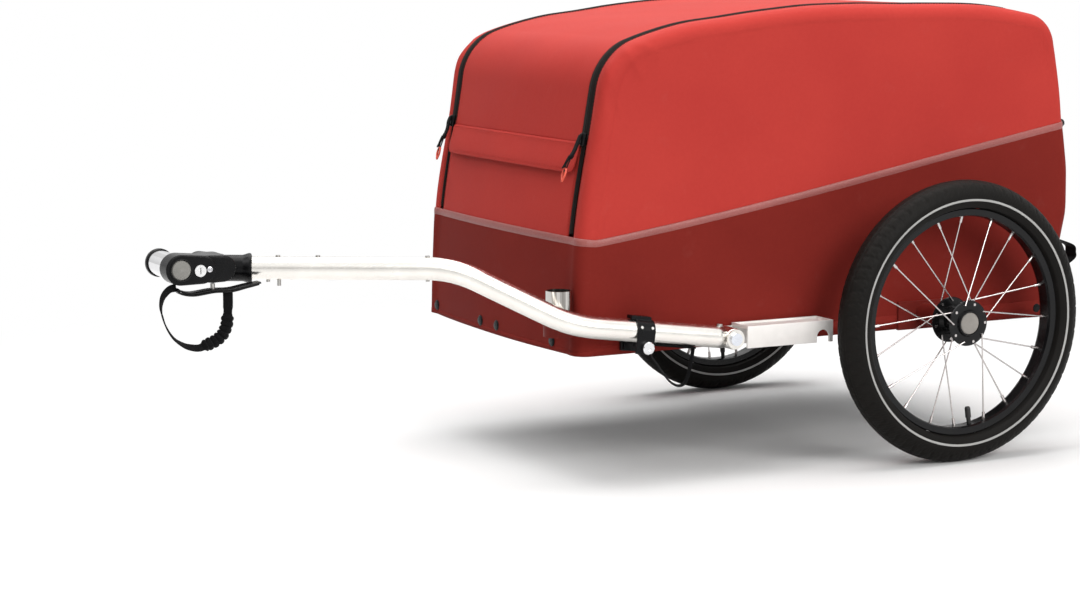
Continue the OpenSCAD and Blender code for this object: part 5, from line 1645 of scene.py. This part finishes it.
@dataclass
class Wheel:
    """A 16-inch wheel: tyre with tread, reflective line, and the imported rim, spokes and hub.

    Args:
        side: side of the trailer.
        track: distance between the two wheels' middles.
        outer_r: radius over the tyre.
        tyre_w: width of the tyre.
        bead_r: radius of the tyre's foot.
        line_r: middle radius of the reflective line.
        line_w: width of the reflective line.
        ring_r: radius of the raised ring at the rim.
        ring_y: how far that ring is from the wheel's middle.
        ring_thick: radius of that ring's section.
        blocks: tread blocks round the tyre.
        steps: steps round the tyre.
    """

    side: Side
    track: float = 0.650
    outer_r: float = 0.1975
    tyre_w: float = 0.047
    bead_r: float = 0.1589
    line_r: float = 0.1712
    line_w: float = 0.0028
    ring_r: float = 0.1618
    ring_y: float = 0.0158
    ring_thick: float = 0.0011
    blocks: int = 72
    steps: int = 540

    @property
    def centre(self) -> np.ndarray:
        """The hub's middle."""
        return np.array([AXLE_X, self.side.value * self.track / 2, self.outer_r])

    def profile(self) -> np.ndarray:
        """Tyre section: (radius, distance outward, tread share) from bead to bead."""
        half = self.tyre_w / 2
        middle = self.outer_r - half
        a = np.linspace(math.radians(-126), math.radians(126), 85)
        r, y = middle + half * np.cos(a), half * np.sin(a)
        tread = smooth_step((np.cos(a) - 0.12) / 0.25)
        foot_r, foot_y = self.bead_r, 0.0118
        ends = [(foot_r, -foot_y, 0.0), (foot_r + 0.0012, -foot_y - 0.0012, 0.0)]
        rows = [(p, q, w) for p, q, w in zip(r, y, tread)]
        return np.array(ends + rows + [(p, -q, w) for p, q, w in reversed(ends)])

    def tread_cut(self, angle: np.ndarray, y: np.ndarray) -> np.ndarray:
        """Depth of the tread: slanted cuts on each shoulder, grooves and short cuts in the middle.

        Args:
            angle: angles round the tyre.
            y: distances from the tyre's middle.
        Returns:
            The depth, by angle and distance.
        """
        turn = angle / (2 * np.pi)
        a = np.abs(y) / (self.tyre_w / 2)
        phase = turn * self.blocks + 0.55 * a * np.sign(y)
        zig = np.abs((phase % 1.0) - 0.5) * 2
        sipe = smooth_step((zig - 0.80) / 0.12) * smooth_step((a - 0.34) / 0.05) \
            * smooth_step((0.93 - a) / 0.06)
        fine = np.abs(((turn * (3 * self.blocks) - 0.8 * a * np.sign(y)) % 1.0) - 0.5) * 2
        small = smooth_step((fine - 0.74) / 0.12) * smooth_step((a - 0.66) / 0.04) \
            * smooth_step((0.98 - a) / 0.03)
        groove = np.exp(-((a - 0.30) / 0.028) ** 2)
        short = np.abs(((turn * (2 * self.blocks) + 1.6 * y / self.tyre_w) % 1.0) - 0.5) * 2
        middle = smooth_step((short - 0.78) / 0.12) * smooth_step((0.24 - a) / 0.04)
        return 0.0011 * sipe + 0.0006 * small + 0.0010 * groove + 0.0007 * middle

    def tyre(self) -> None:
        """Makes the tyre, with every radius inside the wheel's outer radius."""
        section = self.profile()
        angle = np.linspace(0, 2 * np.pi, self.steps, endpoint=False)
        y = section[:, 1]
        depth = self.tread_cut(angle[:, None], y[None]) * section[None, :, 2]
        middle = self.outer_r - self.tyre_w / 2
        toward = unit(np.stack([section[:, 0] - middle, y], axis=1))
        r = section[None, :, 0] - toward[None, :, 0] * depth
        out = y[None] - toward[None, :, 1] * depth
        side = self.side.value
        points = np.stack([np.cos(angle)[:, None] * r, side * out, np.sin(angle)[:, None] * r], axis=2)
        thing = make_mesh(f"{self.side.word}_tyre_skin", points + self.centre,
                          grid_faces(*points.shape[:2], True), self.rubber())
        fix_open(thing, self.centre, self.outer_r - self.tyre_w / 2)
        settle(thing, f"wheel_{self.side.word}", "tyre_rubber", f"{self.side.word}_tyre")

    def rubber(self) -> Finish:
        """The tyre's finish."""
        return TyreRubber("tyre_rubber", (0.005, 0.0045, 0.004), (0.026, 0.023, 0.020),
                          (AXLE_X, self.outer_r))

    def line(self) -> None:
        """Makes the reflective line on both side walls."""
        half = self.tyre_w / 2
        middle = self.outer_r - half
        for number, face in enumerate((-1, 1)):
            low, high = self.line_r - self.line_w / 2, self.line_r + self.line_w / 2
            rows = []
            for r in np.linspace(low, high, 5):
                rows.append((r, face * (math.sqrt(max(half**2 - (r - middle) ** 2, 0)) + 0.00035)))
            rows = np.array([(low - 0.0003, rows[0][1] - face * 0.0008)] + rows
                            + [(high + 0.0003, rows[-1][1] - face * 0.0008)])
            ring = lathe(f"{self.side.word}_reflex_{number}", rows, self.centre, ACROSS, REFLEX, 256)
            settle(ring, f"wheel_{self.side.word}", "tyre_rubber")

    def bead_ring(self) -> None:
        """Makes the raised ring where the tyre meets the rim, on both sides."""
        for number, face in enumerate((-1, 1)):
            a = np.linspace(0, 2 * np.pi, 13)[:-1]
            rows = np.stack([self.ring_r + self.ring_thick * np.cos(a),
                             face * (self.ring_y + self.ring_thick * np.sin(a))], axis=1)
            rows = np.vstack([rows, rows[:1]])
            ring = lathe(f"{self.side.word}_bead_{number}", rows, self.centre, ACROSS, self.rubber(), 200)
            settle(ring, f"wheel_{self.side.word}", "tyre_rubber")

    def build(self) -> None:
        """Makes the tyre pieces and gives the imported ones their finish."""
        word = self.side.word
        self.tyre()
        self.line()
        self.bead_ring()
        dress(BLACK_ALLOY, f"{word}_rim", f"{word}_hub")
        dress(SPOKE, f"{word}_spokes", f"{word}_nipples")
        dress(STEEL, f"{word}_bearings")
        dress(VALVE, f"{word}_valve")
        dress(HUB_CAP, f"{word}_hub_button")


def fix_open(thing: bpy.types.Object, centre: np.ndarray, ring_r: float) -> None:
    """Turns the faces of a ring-shaped skin away from the ring's middle circle.

    Args:
        thing: the object.
        centre: the ring's centre.
        ring_r: radius of the middle circle.
    """
    mesh = thing.data
    mesh.update()
    face = mesh.polygons[len(mesh.polygons) // 2]
    flat = Vector((face.center.x - centre[0], 0, face.center.z - centre[2]))
    core = Vector(centre) + flat.normalized() * ring_r
    if face.normal.dot(face.center - core) < 0:
        mesh.flip_normals()


# ---------------------------------------------------------------- drawbar and hitch


def bent_route(corners: np.ndarray, radii: list, degrees: float = 2.5) -> np.ndarray:
    """Points of a route whose corners are rounded.

    Args:
        corners: corner points.
        radii: bend radius at each corner.
        degrees: largest step in a bend.
    Returns:
        Points along the route.
    """
    points = [corners[0]]
    for i in range(1, len(corners) - 1):
        d0, d1 = unit(corners[i] - corners[i - 1]), unit(corners[i + 1] - corners[i])
        angle = math.acos(float(np.clip(d0 @ d1, -1, 1)))
        inward = unit(d1 - (d0 @ d1) * d0)
        centre = corners[i] - d0 * radii[i] * math.tan(angle / 2) + inward * radii[i]
        steps = max(4, math.ceil(math.degrees(angle) / degrees))
        for k in range(steps + 1):
            a = angle * k / steps
            points.append(centre + radii[i] * (math.sin(a) * d0 - math.cos(a) * inward))
    points.append(corners[-1])
    dense = []
    for a, b in zip(points, points[1:]):
        n = max(1, int(np.linalg.norm(b - a) / 0.012))
        dense += [a + (b - a) * j / n for j in range(n)]
    return np.array(dense + [points[-1]])


@dataclass
class Drawbar:
    """The bent aluminium drawbar with its eye, bolt, collar and bracket.

    Args:
        tube_r: radius of the tube.
    """

    tube_r: float = 0.015

    def build(self) -> None:
        """Makes the tube and dresses what sits on it."""
        corners = from_axle([[-337, -266, 190], [-576, -266, 222], [-722, -212, 300],
                             [-994, -113, 305.4]])
        route = bent_route(corners, [0, 0.150, 0.150, 0])
        start = route[0] + unit(route[1] - route[0]) * 0.0125
        route = np.vstack([[start], route[2:]])
        tube = sweep("drawbar_pipe", route, ACROSS, round_section(self.tube_r, 48), DRAWBAR_METAL)
        settle(tube, "drawbar", "drawbar_aluminium", "drawbar_tube")
        eye = lathe("drawbar_eye", np.array([(0.0082, -0.0145), (0.0132, -0.0145), (0.0143, -0.0134),
                                              (0.0147, -0.010), (0.0147, 0.010), (0.0143, 0.0134),
                                              (0.0132, 0.0145), (0.0082, 0.0145), (0.0082, -0.0145)]),
                    corners[0], ACROSS, DRAWBAR_METAL, 64)
        settle(eye, "drawbar", "drawbar_aluminium")
        dress(DRAWBAR_METAL, "pivot_bush")
        dress(FASTENER, "drawbar_fasteners")
        dress(STEEL, "bracket_bolts")
        dress(BOLT, "pivot_bolt")
        settle(softened("collar_shell", "latch_collar", 0.0006, 3, BLACK), "drawbar", "collar_black",
               "latch_collar")
        settle(bevelled("bracket_channel", "drawbar_bracket", 0.0007, BRACKET_METAL), "chassis",
               "frame_aluminium", "drawbar_bracket")
        settle(bevelled("receiver_fork", "latch_receiver", 0.0012, BLACK), "chassis", "corner_plastic",
               "latch_receiver")
        dress(CHROME, "latch_pin")


class Hitch:
    """The hitch head: moulded housing, release cap, lock, chrome sleeve, ring, tongue and the two straps."""

    strap = [[-1076.3, -151, 289.4], [-1084, -151, 288], [-1091, -151, 282], [-1095, -151, 274],
             [-1096, -151, 262], [-1091, -151, 243], [-1081, -151, 226], [-1068, -151, 216],
             [-1057, -151, 212], [-1047, -151, 211], [-1038, -151, 214], [-1027, -151, 218],
             [-1017, -151, 225], [-1011, -151, 236], [-1009, -151, 248], [-1008, -151, 265],
             [-1008, -151, 281.5]]
    lanyard = [[-470.6, -287, 178.3], [-466, -287, 172], [-461, -287, 166], [-455, -286, 158],
               [-448, -285, 150], [-440, -282, 142], [-431, -278, 136], [-421, -274, 132],
               [-411, -271, 133], [-404, -268, 140], [-400, -267, 150], [-397, -266, 162],
               [-395, -266, 171], [-394, -266, 179]]

    def safety_strap(self) -> None:
        """Makes the flat strap that turns into a ruched elastic."""
        path = resample(from_axle(self.strap), 0.0008)
        share = np.linspace(0, 1, len(path))
        across = twisted(path, [0, 0.08, 0.22, 0.40, 0.52, 0.66, 0.8, 1.0], [70, 62, 12, 18, 42, 48, 55, 68])
        first, last, ribs = 0.575, 0.865, 8.5
        elastic = smooth_step((share - first) / 0.03) * smooth_step((last - share) / 0.03)
        place = (share - first) / (last - first) * ribs % 1.0
        wave = np.sqrt(np.clip(1 - (2 * place - 1) ** 2, 0.0, 1.0))
        wide = 1 + elastic * (0.04 + 0.37 * wave)
        thick = 1 + elastic * (2.0 + 2.7 * wave)
        doubled = smooth_step((share - 0.88) / 0.02)
        wide = wide * (1 + 0.12 * doubled)
        thick = thick * (1 + 0.4 * doubled)
        strap = sweep("safety_webbing", path, across, flat_section(0.0112, 0.0019), STRAP,
                      swell=np.stack([wide, thick], axis=1))
        settle(strap, "drawbar", "webbing_black", "safety_strap")

    def pin_lanyard(self) -> None:
        """Makes the short flat strap that keeps the latch pin."""
        path = resample(from_axle(self.lanyard), 0.002)
        across = twisted(path, [0, 0.3, 0.6, 1.0], [50, 40, 28, 45])
        strap = sweep("lanyard_webbing", path, across, flat_section(0.0055, 0.0013), STRAP)
        settle(strap, "drawbar", "webbing_black", "pin_lanyard")

    def cords(self) -> None:
        """Makes both straps; they come right after the camera."""
        self.safety_strap()
        self.pin_lanyard()

    def tongue(self) -> None:
        """Makes the flat tongue under the hitch: a doubled strap with a folded tip."""
        upper = from_axle([[-1076, -151, 288.2], [-1070, -151, 284.6], [-1056, -151, 281.6],
                           [-1030, -151, 284.2], [-1006, -151, 283.9], [-984, -151, 287.4],
                           [-966, -151, 290.0]])
        under = from_axle([[-1076, -151, 286.0], [-1070, -151, 281.4], [-1054, -151, 278.9],
                           [-1028, -151, 281.6], [-1004, -151, 281.4], [-985, -151, 285.0],
                           [-968, -151, 288.0]])
        for name, path, wide in (("tongue_upper", upper, 0.020), ("tongue_under", under, 0.017)):
            points = resample(path, 0.0015)
            share = np.linspace(0, 1, len(points))
            narrow = 1 - 0.25 * smooth_step((0.12 - share) / 0.12) - 0.2 * smooth_step((share - 0.88) / 0.12)
            piece = sweep(name, points, ACROSS, flat_section(wide, 0.0024), TONGUE,
                          swell=np.stack([narrow, np.ones_like(narrow)], axis=1))
            settle(piece, "drawbar", "webbing_black", *(("strap_anchor",) if name == "tongue_upper" else ()))

    def build(self) -> None:
        """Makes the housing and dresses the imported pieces."""
        housing = softened("hitch_shell", "hitch_housing", 0.0009, 4, BLACK)
        settle(housing, "drawbar", "hitch_black", "hitch_housing")
        self.tongue()
        hitch = from_axle([[-1074, -167, 313]])[0]
        bezel = lathe("release_bezel", np.array([(0.0126, 0.0), (0.0128, 0.0012), (0.0136, 0.0017),
                                                  (0.0146, 0.0012), (0.0150, -0.001), (0.0126, -0.001)]),
                      hitch, -ACROSS, BLACK, 72)
        settle(bezel, "drawbar", "hitch_black")
        screw = from_axle([[-1036.5, -166.0, 312]])[0]
        head = lathe("housing_screw", np.array([(0.0, 0.0012), (0.0012, 0.0012), (0.0014, 0.0004),
                                                 (0.0022, 0.0004), (0.0024, 0.0012), (0.0036, 0.0009),
                                                 (0.0040, -0.002)]),
                     screw, -ACROSS, STEEL, 32)
        settle(head, "drawbar", "hitch_black")
        dress(CHROME, "coupler_sleeve")
        dress(BLACK, "coupler_ring")
        dress(GREY_CAP, "release_button")
        dress(Metal("lock_face", (0.80, 0.80, 0.80), 0.3, (500.0, 500.0, 500.0), 0.8), "lock_barrel")
        dress(STRAP, "lanyard_anchor")


class Chassis:
    """The frame inside the fabric and the small fittings outside it."""

    def handle(self) -> None:
        """Makes the webbing loop at the rear."""
        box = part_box("rear_handle")
        y = (box[0].y + box[1].y) / 2
        x0, x1, z0, z1 = box[0].x, box[1].x, box[0].z, box[1].z
        path = np.array([[x0 + 0.0015, y, z1 + 0.012], [x0 + 0.006, y, z1 + 0.002],
                         [x0 + 0.017, y, z1 - 0.006], [x1 - 0.006, y, z1 - 0.017],
                         [x1 - 0.002, y, z1 - 0.027], [x1 - 0.004, y, z1 - 0.037],
                         [x0 + 0.020, y, z0 + 0.011], [x0 + 0.009, y, z0 + 0.002],
                         [x0 + 0.001, y, z0 - 0.010]])
        points = resample(path, 0.0015)
        settle(sweep("handle_webbing", points, ACROSS, flat_section(0.024, 0.0018), STRAP),
               "chassis", "webbing_black", "rear_handle")

    def build(self) -> None:
        """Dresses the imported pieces."""
        dress(FLOOR_BOARD, "floor_panel")
        dress(FRAME_METAL, "side_rails", "crossbars", "side_hoops", "top_crossbars")
        dress(RED_COAT, "axle_receivers", "socket_bracket")
        dress(STEEL, "stub_axles")
        dress(BLACK, "corner_joints", "panel_screws", "band_end_stop")
        dress(SOCKET, "walker_socket")
        self.handle()


# ---------------------------------------------------------------- studio


@dataclass
class Studio:
    """Camera, lights and floor.

    Args:
        place: where the camera stands.
        pitch: how far it looks down, in degrees.
        yaw: how far it looks to the rear, in degrees.
        focal: focal length in pixels of the photograph.
        picture_w: width of the photograph in pixels.
        sensor: width of the camera's sensor in millimetres.
    """

    place: tuple = (-1.63275, -3.058, 0.702)
    pitch: float = 7.92
    yaw: float = 26.8
    focal: float = 2440.0
    picture_w: int = 1080
    sensor: float = 36.0

    def camera(self) -> None:
        """Sets the camera where the photograph was taken from."""
        data = bpy.data.cameras.new("camera")
        data.sensor_width, data.lens = self.sensor, self.sensor * self.focal / self.picture_w
        data.clip_end = 60.0
        thing = bpy.data.objects.new("camera", data)
        thing.location = self.place
        thing.rotation_euler = (math.radians(90 - self.pitch), 0, math.radians(-self.yaw))
        bpy.context.scene.collection.objects.link(thing)
        bpy.context.scene.camera = thing

    def lamp(self, name: str, place: tuple, aim: tuple, size: tuple, power: float, colour: tuple) -> None:
        """Adds a soft box.

        Args:
            name: its name.
            place: where it hangs.
            aim: the point it faces.
            size: width and height.
            power: power in watts.
            colour: its colour.
        """
        data = bpy.data.lights.new(name, "AREA")
        data.shape, data.size, data.size_y = "RECTANGLE", *size
        data.energy, data.color = power, colour
        thing = bpy.data.objects.new(name, data)
        thing.location = place
        thing.rotation_euler = (Vector(aim) - Vector(place)).to_track_quat("-Z", "Y").to_euler()
        bpy.context.scene.collection.objects.link(thing)

    def world(self) -> None:
        """Sets the surround: white to the camera; bright ceiling, dark far wall and pale paper else."""
        world = bpy.data.worlds.new("studio")
        bpy.context.scene.world = world
        graph = Graph(world)
        graph.tree.nodes.clear()
        split = graph.node("ShaderNodeSeparateXYZ",
                           {0: graph.node("ShaderNodeTexCoord").outputs["Generated"]}).outputs
        height = graph.math("MULTIPLY_ADD", split[2], 0.5, 0.5)
        room = graph.ramp(height, [(0.0, (0.80, 0.77, 0.73)), (0.44, (0.86, 0.83, 0.79)), (0.49, 0.82),
                                   (0.505, 0.72), (0.54, 0.74), (0.62, 0.88), (0.78, 1.05), (1.0, 1.15)])
        level = graph.fade(graph.math("ABSOLUTE", split[2]), 0.15, 0.50, 1.0, 0.0)
        ahead = graph.fade(split[0], -0.55, -0.85)
        walled = graph.mix(graph.times(graph.times(level, ahead), 0.85), room,
                           (0.20, 0.14, 0.125))
        turn = graph.math("ARCTAN2", split[1], split[0])
        flags = graph.ramp(graph.math("MULTIPLY_ADD", graph.math("SINE", graph.times(turn, 9.0)),
                                      0.5, 0.5), [(0.55, 0.0), (0.75, 1.0)])
        flagged = graph.mix(graph.times(graph.times(level, flags), 0.45), walled,
                            (0.22, 0.20, 0.19))
        low_front = graph.times(graph.fade(split[0], -0.2, -0.7, smooth=False),
                                graph.fade(split[2], 0.75, 0.2, 0.0, 0.28, smooth=False))
        front = graph.times(graph.math("SUBTRACT", 1.0, graph.seen()), low_front)
        strength = graph.math("SUBTRACT", graph.math("MULTIPLY_ADD", graph.seen(), 0.5, 0.5), front)
        lit = graph.node("ShaderNodeBackground", {0: flagged, 1: strength})
        seen = graph.node("ShaderNodeBackground", {0: (1.0, 1.0, 1.0, 1.0), 1: 1.0})
        camera = graph.node("ShaderNodeLightPath").outputs["Is Camera Ray"]
        both = graph.node("ShaderNodeMixShader", {0: camera, 1: lit.outputs[0], 2: seen.outputs[0]})
        graph.node("ShaderNodeOutputWorld", {0: both.outputs[0]})

    def build(self) -> None:
        """Makes floor, surround and lights, and sets the picture's tone."""
        paper = StudioFloor("floor_paper", (0.90, 0.90, 0.90), 0.55, 1.5)
        corners = np.array([[-50, -30, 0], [90, -30, 0], [90, 120, 0], [-50, 120, 0]], float)
        floor = make_mesh("floor", corners, [(0, 1, 2, 3)], paper, smooth=False)
        self.world()
        self.lamp("ceiling", (0.3, 0.5, 3.2), (0.25, 0.0, 0.2), (3.2, 3.2), 97.0, (1.0, 0.99, 0.98))
        self.lamp("key", (0.6, -3.6, 2.0), (0.1, 0.0, 0.35), (2.4, 2.0), 88.0, (1.0, 0.985, 0.97))
        self.lamp("front", (-1.9, -0.5, 2.7), (-0.2, 0.0, 0.45), (1.4, 1.4), 17.0, (1.0, 1.0, 1.0))
        view = bpy.context.scene.view_settings
        view.view_transform, view.look, view.exposure, view.gamma = "Standard", "None", 0.0, 1.0


def main() -> None:
    """Builds the scene in order and says what it made."""
    logging.basicConfig(level=logging.INFO, format="%(name)s: %(message)s")
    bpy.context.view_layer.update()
    studio = Studio()
    studio.camera()
    hitch = Hitch()
    hitch.cords()
    LOG.info("camera and straps are in place")
    skin = Skin(folds=side_folds())
    FabricBody(skin).build()
    FrontFlap(skin).build()
    for side in Side:
        Zip(skin, side).build()
    LOG.info("fabric body is dressed")
    for side in Side:
        Wheel(side).build()
    Drawbar().build()
    hitch.build()
    Chassis().build()
    LOG.info("wheels, drawbar and hitch are dressed")
    studio.build()


if __name__ == "__main__":
    main()
